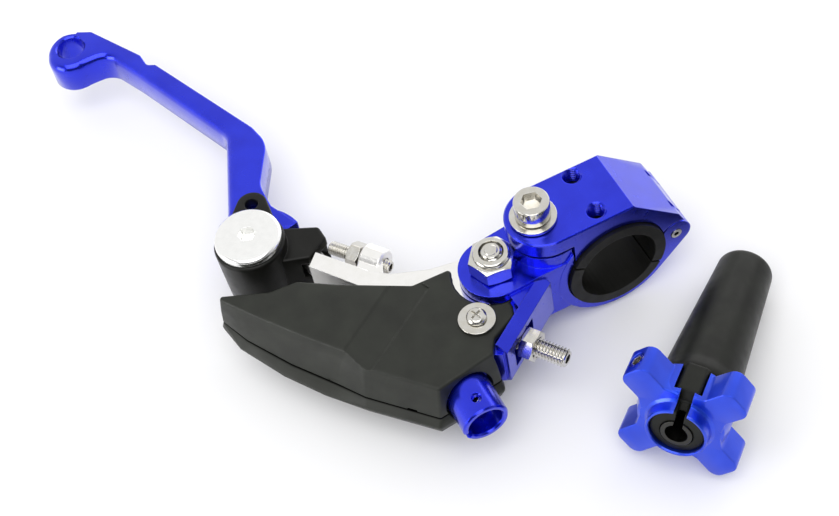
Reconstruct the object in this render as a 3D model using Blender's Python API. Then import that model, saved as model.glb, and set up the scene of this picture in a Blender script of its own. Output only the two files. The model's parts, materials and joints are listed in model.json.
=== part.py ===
"""Folding clutch lever with its bar clamp, dust cover and loose cable adjuster.

Frame: the origin is the centre of the handlebar bore. X runs along the bar,
inboard positive. Y points to the rider. Z is up, along the lever's pivot.
All driving sizes below are in millimetres; the meshes are written in metres.
"""
import bpy
import bmesh
from math import acos, atan2, cos, degrees, hypot, pi, radians, sin, sqrt
from mathutils import Matrix, Vector

MM = 0.001
GAP = 0.3

# Handlebar clamp
BAR_R = 11.1
LINER_R = 14.2
LINER_X = (-11.8, 11.0)
CLAMP_X = (-10.1, 9.9)
CLAMP_MID_X = -0.1
CLAMP_HALF = 10.0
SEAT_R = LINER_R + GAP
RING_R = 17.0
PLATE_TOP = 20.0
PLATE_BOTTOM = 15.2
BOSS_TOP = 13.6
BOSS_Y = -15.3
PARTING_Y = -12.1
SPLIT_DEG = -29.0
HINGE_Y = 18.0
HINGE_Z = 0.2
HINGE_R = 4.3
HINGE_PIN_R = 1.6
TONGUE_HALF = 5.0
CLAMP_BOLT = (-0.3, -17.7)
MIRROR_HOLES = ((-7.3, -2.7), (5.9, -2.8))

# Lever pivot
PIVOT = (1.0, -31.0)
EAR_R = 9.4
EAR_TOP = 9.5
SLOT_HALF = 6.5
PIVOT_BOLT_R = 3.0

# Web, with the rest stop screw
WALL_NORMAL = (0.82, 0.57)
WALL_POINT = (19.7, -32.6)
WALL_HALF = 6.2
STOP_THREAD_R = 2.5

# Cable adjuster
CABLE_Y = -52.0
ADJUSTER_R = 6.3
ADJUSTER_BORE_R = 4.7
ADJUSTER_X = (24.6, 36.2)
CABLE_BOSS_X = (13.5, 24.2)
CABLE_BOSS_R = 6.4

# Lever base, reach adjuster and folding joint
BASE_HALF = 6.0
REACH_PIN = (-34.4, -70.4)
REACH_SCREW_FROM = (-35.1, -64.4)
REACH_SCREW_TO = (-19.5, -52.4)
KNUCKLE = (-40.6, -83.6)
KNUCKLE_R = 9.8
FOLD_BOLT_R = 3.0
BLADE_HALF = 5.0
EYE_CENTRE = (-140.2, -103.8)
EYE_R = 7.2
EYE_HOLE = (-141.5, -103.1)
EYE_HOLE_R = 4.2

# Dust cover
COVER_TOP = 8.5
COVER_SEAM = -2.0
COVER_BOTTOM = -8.6
COVER_WALL = 1.7
COVER_SCREW = (12.9, -41.9)

# Loose adjuster wheel with its boot: the hub's front centre and the axis
WHEEL_AT = (63.2, -13.8, 1.9)
WHEEL_AZIMUTH = -47.7
WHEEL_TILT = 11.0
UNIT_LENGTH = 62.8
HUB_BORE_R = 7.0
ARM_TIP_R = 18.9
ARM_ANGLES = (133.0, 223.0, 313.0, 41.0)
SLOT_ANGLE = 84.0

# ---------------------------------------------------------------- materials


def paint(name, colour, roughness, metallic):
    """A plain surface for one kind of material."""
    material = bpy.data.materials.new(name)
    material.use_nodes = True
    shader = material.node_tree.nodes["Principled BSDF"]
    shader.inputs["Base Color"].default_value = (*colour, 1.0)
    shader.inputs["Roughness"].default_value = roughness
    shader.inputs["Metallic"].default_value = metallic
    material.diffuse_color = (*colour, 1.0)
    return material


LOOKS = {
    "blue": ((0.03, 0.05, 0.72), 0.3, 0.9),
    "black": ((0.035, 0.037, 0.033), 0.6, 0.0),
    "steel": ((0.8, 0.79, 0.76), 0.15, 1.0),
    "polished": ((0.85, 0.84, 0.8), 0.2, 1.0),
    "bronze": ((0.55, 0.38, 0.16), 0.35, 1.0),
    "rubber": ((0.03, 0.03, 0.028), 0.75, 0.0),
}

# ---------------------------------------------------------------- outlines


def arc(centre, radius, start, end, steps):
    """Points on an arc, angles in degrees."""
    points = []
    for i in range(steps + 1):
        angle = radians(start + (end - start) * i / steps)
        points.append((centre[0] + radius * cos(angle), centre[1] + radius * sin(angle)))
    return points


def rounded(corners, step=15.0, fixed=0):
    """Closed outline whose corners (x, y, radius) are rounded by arcs."""
    points = []
    count = len(corners)
    for i, corner in enumerate(corners):
        here = Vector(corner[:2])
        before = (Vector(corners[i - 1][:2]) - here).normalized()
        after = (Vector(corners[(i + 1) % count][:2]) - here).normalized()
        radius = corner[2] if len(corner) > 2 else 0.0
        turn = pi - acos(max(-1.0, min(1.0, before.dot(after))))
        if radius <= 0.0 or (turn < radians(2.0) and not fixed):
            points.append(tuple(here))
            continue
        reach = radius * sin(turn / 2) / cos(turn / 2)
        centre = here + (before + after).normalized() * (radius / cos(turn / 2))
        first = here + before * reach - centre
        side = 1.0 if before.cross(after) < 0.0 else -1.0
        steps = fixed or max(1, round(degrees(turn) / step))
        for k in range(steps + 1):
            angle = side * turn * k / steps
            points.append(tuple(centre + Matrix.Rotation(angle, 2) @ first))
    return points


def hull_of_circles(first, r1, second, r2, step=12.0):
    """Outline round two circles and their outer tangents."""
    span = Vector(second) - Vector(first)
    heading = degrees(atan2(span.y, span.x))
    lean = degrees(acos((r1 - r2) / span.length))
    n1 = max(2, round((360.0 - 2 * lean) / step))
    n2 = max(2, round(2 * lean / step))
    return (arc(first, r1, heading + lean, heading + 360.0 - lean, n1)
            + arc(second, r2, heading - lean, heading + lean, n2))


def hexagon(flats, turn=0.0):
    """Hexagon given its width across flats."""
    return arc((0.0, 0.0), flats / sqrt(3.0), turn, turn + 300.0, 5)


def shrink(corners, distance):
    """Corners moved inwards; an outline that runs clockwise moves outwards."""
    moved = []
    count = len(corners)
    for i, corner in enumerate(corners):
        here = Vector(corner[:2])
        before = (here - Vector(corners[i - 1][:2])).normalized()
        after = (Vector(corners[(i + 1) % count][:2]) - here).normalized()
        normal = Vector((-before.y - after.y, before.x + after.x)).normalized()
        reach = distance / max(0.3, normal.dot(Vector((-before.y, before.x))))
        radius = corner[2] if len(corner) > 2 else 0.0
        turn = before.cross(after)
        radius = max(0.1, radius - distance if turn > 0.0 else radius + distance) if radius else 0.0
        place = here + normal * reach
        moved.append((place.x, place.y, radius))
    return moved


# ---------------------------------------------------------------- solids

def upright(axis):
    """Rotation that turns +Z onto the given direction."""
    return Vector((0.0, 0.0, 1.0)).rotation_difference(Vector(axis).normalized()).to_matrix()


def mesh_object(name, vertices, faces):
    """Object from millimetre points, with its faces pointing out."""
    mesh = bpy.data.meshes.new(name)
    mesh.from_pydata([Vector(v) for v in vertices], [], faces)
    build = bmesh.new()
    build.from_mesh(mesh)
    bmesh.ops.remove_doubles(build, verts=build.verts, dist=0.001)
    bmesh.ops.recalc_face_normals(build, faces=build.faces)
    build.to_mesh(mesh)
    build.free()
    obj = bpy.data.objects.new(name, mesh)
    bpy.context.collection.objects.link(obj)
    return obj


def loft(name, rings):
    """Closed solid through rings that all have the same number of points."""
    count = len(rings[0])
    vertices = [point for ring in rings for point in ring]
    faces = [tuple(range(count)), tuple(range(len(vertices) - count, len(vertices)))]
    for level in range(len(rings) - 1):
        low = level * count
        for i in range(count):
            j = (i + 1) % count
            faces.append((low + i, low + j, low + count + j, low + count + i))
    return mesh_object(name, vertices, faces)


def ring_solid(name, rings):
    """Solid with a hole through it: the last ring joins the first again."""
    count = len(rings[0])
    total = count * len(rings)
    vertices = [point for ring in rings for point in ring]
    faces = []
    for level in range(len(rings)):
        for i in range(count):
            j = (i + 1) % count
            low = level * count
            high = (low + count) % total
            faces.append((low + i, low + j, high + j, high + i))
    return mesh_object(name, vertices, faces)


def coil(name, at, axis, radius, wire, turns, pitch, sides=5):
    """Coil spring that starts at the given point and climbs along the axis."""
    matrix = upright(axis)
    steps = round(turns * 10)
    rings = []
    for k in range(steps + 1):
        angle = 2 * pi * turns * k / steps
        out = Vector((cos(angle), sin(angle), 0.0))
        ring = []
        for j in range(sides):
            around = 2 * pi * j / sides
            reach = radius + wire * cos(around)
            rise = pitch * turns * k / steps + wire * sin(around)
            ring.append(Vector(at) + matrix @ (out * reach + Vector((0.0, 0.0, rise))))
        rings.append(ring)
    return loft(name, rings)


def prism(name, outline, low, high):
    """An XY outline, extruded from low to high along Z."""
    return loft(name, [[(x, y, z) for x, y in outline] for z in (low, high)])


def side_prism(name, outline, low, high):
    """A YZ outline, extruded from low to high along X."""
    return loft(name, [[(x, y, z) for y, z in outline] for x in (low, high)])


def turned(name, profile, at, axis, sides=24):
    """Solid turned from (radius, height) points; a zero radius closes an end."""
    matrix = upright(axis)
    at = Vector(at)
    rings = []
    vertices = []
    faces = []
    for radius, height in profile:
        if radius == 0.0:
            rings.append([len(vertices)])
            vertices.append(at + matrix @ Vector((0.0, 0.0, height)))
            continue
        rings.append(list(range(len(vertices), len(vertices) + sides)))
        for k in range(sides):
            angle = 2 * pi * k / sides
            vertices.append(at + matrix @ Vector((radius * cos(angle), radius * sin(angle), height)))
    closed = profile[0][0] > 0.0 and profile[-1][0] > 0.0
    pairs = list(zip(rings, rings[1:]))
    if closed:
        pairs.append((rings[-1], rings[0]))
    for one, two in pairs:
        for k in range(sides):
            j = (k + 1) % sides
            if len(one) == 1:
                faces.append((one[0], two[k], two[j]))
            elif len(two) == 1:
                faces.append((one[k], one[j], two[0]))
            else:
                faces.append((one[k], one[j], two[j], two[k]))
    return mesh_object(name, vertices, faces)


def rod(name, start, end, radius, sides=24):
    """Plain cylinder between two points."""
    axis = Vector(end) - Vector(start)
    profile = [(0.0, 0.0), (radius, 0.0), (radius, axis.length), (0.0, axis.length)]
    return turned(name, profile, start, axis, sides)


def tube(name, start, end, outer, inner, sides=24):
    """Ring or sleeve between two points."""
    axis = Vector(end) - Vector(start)
    length = axis.length
    profile = [(inner, 0.0), (outer, 0.0), (outer, length), (inner, length)]
    return turned(name, profile, start, axis, sides)


def block(name, low, high):
    """Box between two corners."""
    outline = [(low[0], low[1]), (high[0], low[1]), (high[0], high[1]), (low[0], high[1])]
    return prism(name, outline, low[2], high[2])


def along(name, outline, at, axis, length, roll=0.0):
    """An outline drawn square to an axis and pushed along it."""
    matrix = upright(axis) @ Matrix.Rotation(radians(roll), 3, "Z")
    rings = []
    for height in (0.0, length):
        rings.append([Vector(at) + matrix @ Vector((x, y, height)) for x, y in outline])
    return loft(name, rings)


def settle(obj):
    """Write the object's modifiers into its mesh."""
    graph = bpy.context.evaluated_depsgraph_get()
    graph.update()
    mesh = bpy.data.meshes.new_from_object(obj.evaluated_get(graph))
    obj.modifiers.clear()
    obj.data = mesh


def facet(obj):
    """Join level faces, then split them into the triangles that Booleans handle best."""
    build = bmesh.new()
    build.from_mesh(obj.data)
    bmesh.ops.dissolve_limit(build, angle_limit=radians(0.3), verts=build.verts, edges=build.edges)
    bmesh.ops.triangulate(build, faces=build.faces)
    build.to_mesh(obj.data)
    build.free()


def combine(obj, others, operation):
    """Boolean with other solids, which are then removed."""
    for other in others:
        facet(obj)
        facet(other)
        modifier = obj.modifiers.new("Boolean", "BOOLEAN")
        modifier.operation = operation
        modifier.solver = "EXACT"
        modifier.object = other
        settle(obj)
        bpy.data.objects.remove(other)
    return obj


def cut(obj, *tools):
    return combine(obj, tools, "DIFFERENCE")


def fuse(obj, *tools):
    return combine(obj, tools, "UNION")


def keep(obj, *tools):
    return combine(obj, tools, "INTERSECT")


def soften(obj, width, segments=2, angle=35.0):
    """Round the sharp edges a little."""
    modifier = obj.modifiers.new("Bevel", "BEVEL")
    modifier.width = width
    modifier.segments = segments
    modifier.limit_method = "ANGLE"
    modifier.angle_limit = radians(angle)
    modifier.use_clamp_overlap = True
    settle(obj)
    return obj


def dress(obj, look, origin=(0.0, 0.0, 0.0)):
    """Turn the finished piece into metres, with its material and its origin."""
    facet(obj)
    obj.data.materials.clear()
    obj.data.materials.append(paint(obj.name + "_finish", *LOOKS[look]))
    obj.data.transform(Matrix.Translation(-Vector(origin)))
    obj.data.transform(Matrix.Scale(MM, 4))
    obj.location = Vector(origin) * MM
    obj.data.shade_smooth()
    obj.data.set_sharp_from_angle(angle=radians(30.0))
    return obj


def wall_point(offset, side=0.0, z=0.0):
    """Point off the web's outer wall: outwards by offset, along it by side."""
    normal = Vector(WALL_NORMAL).normalized()
    place = Vector(WALL_POINT) + normal * offset + Vector((-normal.y, normal.x)) * side
    return (place.x, place.y, z)


def sector(name, centre, radius, start, end, low, high):
    """Pie slice, used to open the folding joint."""
    steps = max(2, round(abs(end - start) / 15.0))
    return prism(name, [tuple(centre)] + arc(centre, radius, start, end, steps), low, high)


# ---------------------------------------------------------------- bar clamp

def cap_side():
    """Side view of the clamp cap, which closes over the bar."""
    return [(-30.0, PLATE_TOP), (-30.0, PLATE_BOTTOM), (-11.6, PLATE_BOTTOM), (-11.6, 1.1), (22.1, 1.1),
            (18.9, 8.0), (5.9, PLATE_TOP)]


def plan_plate(inset=0.0):
    """Top view of the cap and of the boss below it, with the round front."""
    half = CLAMP_HALF - inset
    return (arc((CLAMP_MID_X, BOSS_Y), half, 180.0, 360.0, 16)
            + [(CLAMP_MID_X + half, 30.0), (CLAMP_MID_X - half, 30.0)])


def make_clamp_cap():
    cap = side_prism("clamp_cap", cap_side(), *CLAMP_X)
    keep(cap, prism("t", plan_plate(), -20.0, 40.0))
    tongue = rod("t", (-TONGUE_HALF, HINGE_Y, HINGE_Z), (TONGUE_HALF, HINGE_Y, HINGE_Z), HINGE_R)
    fuse(cap, tongue)
    for low, high in ((CLAMP_X[0] - 1.0, -TONGUE_HALF - 0.1), (TONGUE_HALF + 0.1, CLAMP_X[1] + 1.0)):
        cut(cap, rod("t", (low, HINGE_Y, HINGE_Z), (high, HINGE_Y, HINGE_Z), HINGE_R + 0.6))
    cut(cap, rod("t", (-20.0, HINGE_Y, HINGE_Z), (20.0, HINGE_Y, HINGE_Z), HINGE_PIN_R + 0.1, 24))
    cut(cap, rod("t", (*CLAMP_BOLT, 0.0), (*CLAMP_BOLT, 30.0), 3.3, 24))
    for x, y in MIRROR_HOLES:
        cut(cap, rod("t", (x, y, 14.9), (x, y, 30.0), 2.2, 24))
    cut(cap, rod("t", (-20.0, 0.0, 0.0), (20.0, 0.0, 0.0), SEAT_R, 64))
    return dress(cap, "blue")


def make_liner(name, start, end):
    """Half of the liner between the clamp and the bar."""
    outline = arc((0.0, 0.0), LINER_R, start, end, 22) + arc((0.0, 0.0), BAR_R, end, start, 22)
    return dress(side_prism(name, outline, *LINER_X), "black")


# ---------------------------------------------------------------- perch

def shoulder():
    """The web's outer wall: square in the middle, sloping in above and below."""
    rings = []
    for z, inset in ((-COVER_TOP - 0.1, 2.9), (-WALL_HALF, 0.0), (WALL_HALF, 0.0), (COVER_TOP + 0.1, 2.9)):
        ring = []
        for offset, side in ((-inset, -8.3), (-inset, 15.7), (-3.15, 15.7), (-3.15, -8.3)):
            ring.append(wall_point(offset, side, z))
        rings.append(ring)
    return rings


def neck_outline():
    """Top view of the neck: the pivot's round ear, running back to the clamp."""
    left, right = CLAMP_X
    ear = arc(PIVOT, EAR_R, 193.0, 349.0, 20)
    return ([(left + 0.8, -11.0), (left + 0.8, -22.5)] + ear
            + [(right + 0.3, -28.0), (right - 0.1, -22.0), (right - 0.1, -11.0)])


def make_perch():
    side = hull_of_circles((0.0, 0.0), RING_R, (HINGE_Y, HINGE_Z), HINGE_R, 10.0)
    perch = side_prism("perch_body", side, *CLAMP_X)
    fuse(perch, prism("t", neck_outline(), -EAR_TOP, EAR_TOP))
    fuse(perch, prism("t", plan_plate(0.5)[:17] + [(9.0, -9.0), (-9.8, -9.0)], 1.0 - EAR_TOP, BOSS_TOP))
    web = [(2.0, -12.0), (2.0, -24.0), (10.0, -29.0), (10.0, -38.0), (14.0, -44.5), (14.0, CABLE_Y),
           (21.6, CABLE_Y), (21.6, -44.5), wall_point(-1.0, -9.0)[:2], wall_point(-1.0, 16.5)[:2]]
    fuse(perch, prism("t", web, 0.1 - WALL_HALF, WALL_HALF - 0.1))
    fuse(perch, loft("t", shoulder()))
    saddle = [(8.0, -16.0), (8.0, -31.35), wall_point(-3.0, 4.1)[:2], wall_point(-3.0, 14.0)[:2]]
    fuse(perch, prism("t", saddle, -8.4, 8.4))
    fuse(perch, rod("t", (CABLE_BOSS_X[0], CABLE_Y, 0.0), (CABLE_BOSS_X[1], CABLE_Y, 0.0), CABLE_BOSS_R))
    # Parting face to the cap, hinge gap and the bar's seat.
    lugs = arc((HINGE_Y, HINGE_Z), HINGE_R + 0.1, 183.0, -3.0, 12)
    parting = [(PARTING_Y, 40.0), (PARTING_Y, 6.0), (0.0, -0.1)] + lugs + [(40.0, -0.1), (40.0, 40.0)]
    cut(perch, side_prism("t", parting, -20.0, 20.0))
    inner = TONGUE_HALF + 0.5
    cut(perch, rod("t", (-inner, HINGE_Y, HINGE_Z), (inner, HINGE_Y, HINGE_Z), HINGE_R + 0.7))
    # Slot for the lever's base.
    cut(perch, rod("t", (*PIVOT, -SLOT_HALF), (*PIVOT, SLOT_HALF), EAR_R + 0.1))
    cut(perch, block("t", (-40.0, -70.0, -SLOT_HALF), (10.2, PIVOT[1], SLOT_HALF)))
    cut(perch, block("t", (-40.0, -40.0, -SLOT_HALF), (-4.0, -27.0, SLOT_HALF)))
    # Bores.
    cut(perch, rod("t", (-20.0, 0.0, 0.0), (20.0, 0.0, 0.0), SEAT_R, 64))
    cut(perch, rod("t", (-20.0, HINGE_Y, HINGE_Z), (20.0, HINGE_Y, HINGE_Z), HINGE_PIN_R + 0.1, 24))
    cut(perch, rod("t", (*CLAMP_BOLT, -8.0), (*CLAMP_BOLT, 30.0), 3.2, 24))
    cut(perch, rod("t", (*PIVOT, -20.0), (*PIVOT, 20.0), PIVOT_BOLT_R + 0.2, 24))
    cut(perch, rod("t", (*COVER_SCREW, -12.0), (*COVER_SCREW, 12.0), 1.8, 20))
    cut(perch, rod("t", wall_point(-20.0), wall_point(8.0), STOP_THREAD_R + 0.2, 24))
    pocket = [(-5.0, -4.3), (5.0, -4.3), (5.0, 4.3), (-5.0, 4.3)]
    cut(perch, along("t", pocket, wall_point(-2.0), (*WALL_NORMAL, 0.0), 12.0, pocket_roll()))
    cut(perch, rod("t", (0.0, CABLE_Y, 0.0), (40.0, CABLE_Y, 0.0), 4.2, 28))
    cable_slot = [(-1.35, 0.2), (1.35, 0.2), (1.35, 14.0), (-1.35, 14.0)]
    cut(perch, along("t", cable_slot, (5.0, CABLE_Y, 0.0), (1.0, 0.0, 0.0), 25.0, cable_slot_roll()))
    return dress(perch, "blue")


def pocket_roll():
    """Turn that lays the wall pocket's long side level."""
    matrix = upright((*WALL_NORMAL, 0.0))
    level = Vector((-WALL_NORMAL[1], WALL_NORMAL[0], 0.0)).normalized()
    return degrees(atan2((matrix.inverted() @ level).y, (matrix.inverted() @ level).x))


def cable_slot_roll():
    """Turn that points the cable slot forwards and a little down."""
    matrix = upright((1.0, 0.0, 0.0))
    aim = matrix.inverted() @ Vector((0.0, -cos(radians(19.0)), -sin(radians(19.0))))
    return degrees(atan2(aim.y, aim.x)) - 90.0


# ---------------------------------------------------------------- fasteners

def socket_screw(name, at, axis, head_r, head_h, shank_r, shank_l, key, look="steel"):
    """Cap screw: the head stands on the face at the given point, the shank is behind it."""
    edge = 0.35
    profile = [(0.0, -shank_l), (shank_r - 0.3, -shank_l), (shank_r, -shank_l + 0.3), (shank_r, 0.0),
               (head_r, 0.0), (head_r, head_h - edge), (head_r - edge, head_h), (0.0, head_h)]
    screw = turned(name, profile, at, axis, 20)
    depth = min(head_h * 0.6, key * 0.8)
    floor = Vector(at) + Vector(axis).normalized() * (head_h - depth)
    cut(screw, along("t", hexagon(key), floor, axis, depth + 2.0))
    return dress(screw, look)


def washer(name, at, axis, outer, inner, thick, look="steel"):
    axis = Vector(axis).normalized()
    return dress(tube(name, at, Vector(at) + axis * thick, outer, inner), look)


def hex_nut(name, at, axis, flats, height, bore, look="steel", roll=0.0):
    """Hexagon nut with turned, chamfered corners."""
    matrix = upright(axis) @ Matrix.Rotation(radians(roll), 3, "Z")
    face = flats / 2 * 0.96
    levels = ((0, 0.0, 0.0), (1, 0.0, 0.0), (2, 0.0, 1.0), (2, height, -1.0), (1, height, 0.0), (0, height, 0.0))
    rings = []
    for kind, base, slope in levels:
        ring = []
        for k in range(24):
            angle = 2 * pi * k / 24
            side = flats / 2 / cos((angle + pi / 6) % (pi / 3) - pi / 6)
            radius = (bore, face, side)[kind]
            rise = base + slope * (side - face) * 0.6
            ring.append(Vector(at) + matrix @ Vector((radius * cos(angle), radius * sin(angle), rise)))
        rings.append(ring)
    return dress(ring_solid(name, rings), look)


def make_fasteners():
    up = (0.0, 0.0, 1.0)
    bolt_top = PLATE_TOP + GAP + 1.1 + GAP
    washer("clamp_washer", (*CLAMP_BOLT, PLATE_TOP + GAP), up, 6.2, 3.2, 1.1)
    socket_screw("clamp_bolt", (*CLAMP_BOLT, bolt_top), up, 4.7, 5.6, 2.9, 26.0, 5.0)
    pin = tube("hinge_pin", (CLAMP_X[0], HINGE_Y, HINGE_Z), (CLAMP_X[1] + 0.2, HINGE_Y, HINGE_Z),
               HINGE_PIN_R - 0.1, 0.75, 24)
    dress(pin, "steel")
    # Pivot bolt from below, with a lock nut on top.
    head = -EAR_TOP - GAP
    profile = [(0.0, head - 3.6), (4.6, head - 3.6), (5.2, head - 3.0), (5.2, head), (PIVOT_BOLT_R, head),
               (PIVOT_BOLT_R, 16.6), (PIVOT_BOLT_R - 0.5, 17.3), (0.0, 17.6)]
    bolt = turned("pivot_bolt", profile, (*PIVOT, 0.0), up, 24)
    cut(bolt, along("t", hexagon(4.0), (*PIVOT, head - 5.0), up, 3.6))
    dress(bolt, "steel")
    hex_nut("pivot_nut", (*PIVOT, EAR_TOP + GAP), up, 11.2, 5.2, PIVOT_BOLT_R + GAP, roll=22.0)
    collar = [(3.3, 0.0), (5.0, 0.0), (5.0, 0.8), (4.5, 1.4), (3.3, 1.4)]
    dress(turned("nut_collar", collar, (*PIVOT, EAR_TOP + GAP + 5.2 + 0.2), up, 24), "steel")
    washer("pivot_bush", (*PIVOT, -BASE_HALF), up, 4.3, PIVOT_BOLT_R + 0.2, 2 * BASE_HALF, "bronze")
    # Rest stop screw, which goes through the wall, with its lock nut.
    normal = (*WALL_NORMAL, 0.0)
    stop = turned("stop_screw", [(0.0, -11.6), (1.8, -11.6), (2.4, -10.8), (2.4, 11.8), (1.9, 12.3), (0.0, 12.3)],
                  wall_point(0.0), normal, 28)
    cut(stop, along("t", hexagon(2.5), wall_point(9.8), normal, 5.0))
    dress(stop, "steel")
    hex_nut("stop_nut", wall_point(0.0), normal, 8.0, 4.0, 2.7)
    # Dust cover screws, above and below.
    for name, side in (("upper", 1.0), ("lower", -1.0)):
        face = (COVER_TOP if side > 0 else -COVER_BOTTOM) + GAP
        at = (*COVER_SCREW, side * face)
        washer("cover_washer_" + name, at, (0.0, 0.0, side), 4.9, 1.9, 0.7)
        at = (*COVER_SCREW, side * (face + 1.0))
        socket_screw("cover_screw_" + name, at, (0.0, 0.0, side), 2.7, 1.5, 1.5, 8.0, 2.0)


# ---------------------------------------------------------------- cable adjuster

def make_adjuster():
    """Adjuster barrel, screwed into the perch, and the cable's seat inside it."""
    front, end = ADJUSTER_X
    profile = [(1.5, 14.6), (3.9, 14.6), (3.9, front), (ADJUSTER_R - 0.4, front), (ADJUSTER_R, front + 0.4),
               (ADJUSTER_R, end - 0.3), (ADJUSTER_R - 0.3, end), (ADJUSTER_BORE_R + 0.3, end),
               (ADJUSTER_BORE_R, end - 0.3), (ADJUSTER_BORE_R, front + 1.2), (1.5, front + 1.2)]
    barrel = turned("adjuster_barrel", profile, (0.0, CABLE_Y, 0.0), (1.0, 0.0, 0.0), 36)
    cut(barrel, rod("t", (31.9, CABLE_Y, 2.0), (31.9, CABLE_Y, 9.0), 1.2, 16))
    slot = [(-1.2, 0.0), (1.2, 0.0), (1.2, 9.0), (-1.2, 9.0)]
    cut(barrel, along("t", slot, (10.0, CABLE_Y, 0.0), (1.0, 0.0, 0.0), 30.0, cable_slot_roll()))
    dress(barrel, "blue", (ADJUSTER_X[0], CABLE_Y, 0.0))
    seat = tube("cable_seat", (front + 1.5, CABLE_Y, 0.0), (front + 4.0, CABLE_Y, 0.0), 4.0, 1.6, 32)
    dress(seat, "steel", (ADJUSTER_X[0], CABLE_Y, 0.0))


# ---------------------------------------------------------------- lever base

def make_base():
    """Polished arm from the pivot to the folding joint."""
    left = arc(PIVOT, 8.0, 20.0, 183.0, 14)
    outline = left + [(-9.6, -45.0), (-13.6, -54.6), (-17.6, -59.2), (-30.6, -69.0), (-27.2, -72.4),
                      (-12.0, -61.6), (2.5, -57.0), (5.6, -54.4), (7.2, -46.5), (7.7, -42.0),
                      wall_point(-11.9, -1.6)[:2], wall_point(-11.9, 1.9)[:2], (8.6, -35.0)]
    base = prism("lever_base", outline, -BASE_HALF, BASE_HALF)
    tenon = hull_of_circles((-27.0, -68.4), 2.4, REACH_PIN, 2.6)
    fuse(base, prism("t", tenon, -2.6, 2.6))
    aim = Vector((REACH_SCREW_TO[0] - REACH_SCREW_FROM[0], REACH_SCREW_TO[1] - REACH_SCREW_FROM[1], 0.0))
    aim.normalize()
    start = Vector((*REACH_SCREW_FROM, 0.0)) + aim * 11.2
    lug = [(-3.6, -4.6), (3.6, -4.6)] + arc((0.0, 0.0), 4.4, 0.0, 180.0, 10)
    boss = turned("t", [(0.0, 0.0), (4.0, 0.0), (4.5, 0.5), (4.5, 6.0), (4.0, 6.5), (0.0, 6.5)], start, aim, 32)
    fuse(base, boss)
    bridge = [tuple((start + aim * 0.3).xy), tuple((start + aim * 6.2).xy), (-14.8, -56.6), (-21.5, -61.8)]
    fuse(base, prism("t", bridge, -3.2, 3.2))
    cut(base, rod("t", start - aim * 3.0, start + aim * 9.0, 2.2, 24))
    cut(base, rod("t", (*PIVOT, -10.0), (*PIVOT, 10.0), 4.6, 32))
    cut(base, rod("t", (*REACH_PIN, -10.0), (*REACH_PIN, 10.0), 1.6, 20))
    cut(base, rod("t", (0.8, CABLE_Y, -4.2), (0.8, CABLE_Y, 10.0), 3.2, 24))
    cut(base, block("t", (0.9, CABLE_Y - 1.2, -1.2), (14.0, CABLE_Y + 1.2, 10.5)))
    dress(base, "polished", (*PIVOT, 0.0))
    # Reach screw, its lock nut and the pin that the knuckle turns on.
    begin = Vector((*REACH_SCREW_FROM, 0.0))
    reach = turned("reach_screw", [(0.0, 0.6), (1.5, 0.6), (1.9, 1.2), (1.9, 19.2), (0.0, 19.2)], begin, aim, 24)
    cut(reach, along("t", hexagon(2.0), begin + aim * 17.5, aim, 4.0))
    dress(reach, "steel", begin)
    hex_nut("reach_nut", begin + aim * 7.2, aim, 7.0, 3.6, 2.1, roll=30.0)
    dress(rod("reach_pin", (*REACH_PIN, -6.6), (*REACH_PIN, 5.4), 1.4, 20), "steel")


# ---------------------------------------------------------------- folding joint

def make_knuckle():
    """Black housing: barrel, fork for the base and lips over the blade."""
    cx, cy = KNUCKLE
    profile = [(0.0, -9.0), (8.9, -9.0), (9.3, -8.4), (KNUCKLE_R, 9.4), (KNUCKLE_R - 0.5, 10.0), (0.0, 10.0)]
    body = turned("knuckle", profile, (cx, cy, 0.0), (0.0, 0.0, 1.0), 36)
    lip = hull_of_circles(KNUCKLE, 8.6, (-52.9, -78.2), 4.3)
    fuse(body, prism("t", lip, -8.6, 8.6))
    arm = rounded([(-44.6, -78.0, 0.0), (-42.6, -71.6, 0.6), (-38.2, -64.8, 1.2), (-33.8, -64.6, 1.0),
                   (-30.0, -71.0, 0.8), (-33.6, -79.0, 0.0)], 30.0)
    fuse(body, prism("t", arm, -7.0, 5.8))
    # Room for the blade's root, open where the blade folds.
    cut(body, rod("t", (cx, cy, -5.4), (cx, cy, 5.4), 8.2, 36))
    cut(body, sector("t", KNUCKLE, 30.0, 99.0, 264.0, -5.4, 5.4))
    # Fork for the base's tenon.
    fork = [(-36.9, -61.6), (-34.9, -66.4)] + arc(REACH_PIN, 3.2, 115.0, 270.0, 8) + [(-22.0, -73.6), (-22.0, -58.0)]
    cut(body, prism("t", fork, -3.0, 3.0))
    cut(body, rod("t", (*REACH_PIN, -10.0), (*REACH_PIN, 10.0), 1.6, 20))
    cut(body, rod("t", (cx, cy, -20.0), (cx, cy, 20.0), FOLD_BOLT_R + 0.2, 24))
    cut(body, rod("t", (cx, cy, 8.8), (cx, cy, 20.0), 8.4, 32))
    cut(body, rod("t", (-52.9, -78.2, -20.0), (-52.9, -78.2, 20.0), 1.9, 20))
    return dress(body, "black", (*REACH_PIN, 0.0))


def blade_outline():
    """Top view of the folding blade, from its root round the tip and back."""
    rear = rounded_open([(-41.9, -68.6), (-52.6, -73.2), (-61.0, -73.2, 9.0), (-74.4, -65.6, 9.0),
                         (-81.8, -67.0, 6.0), (-120.4, -82.9, 0.6), (-121.8, -85.2, 1.4),
                         (-126.6, -85.6, 1.2), (-144.3, -95.4, 1.5), (-146.6, -99.2)])
    tip = arc(EYE_CENTRE, EYE_R, 147.0, 372.0, 26)
    front = rounded_open([(-133.2, -101.4), (-133.0, -94.6, 6.0), (-121.0, -89.2, 30.0),
                          (-84.0, -74.7, 8.0), (-58.0, -84.6), (-50.0, -87.6)])
    return rear + tip + front


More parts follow.
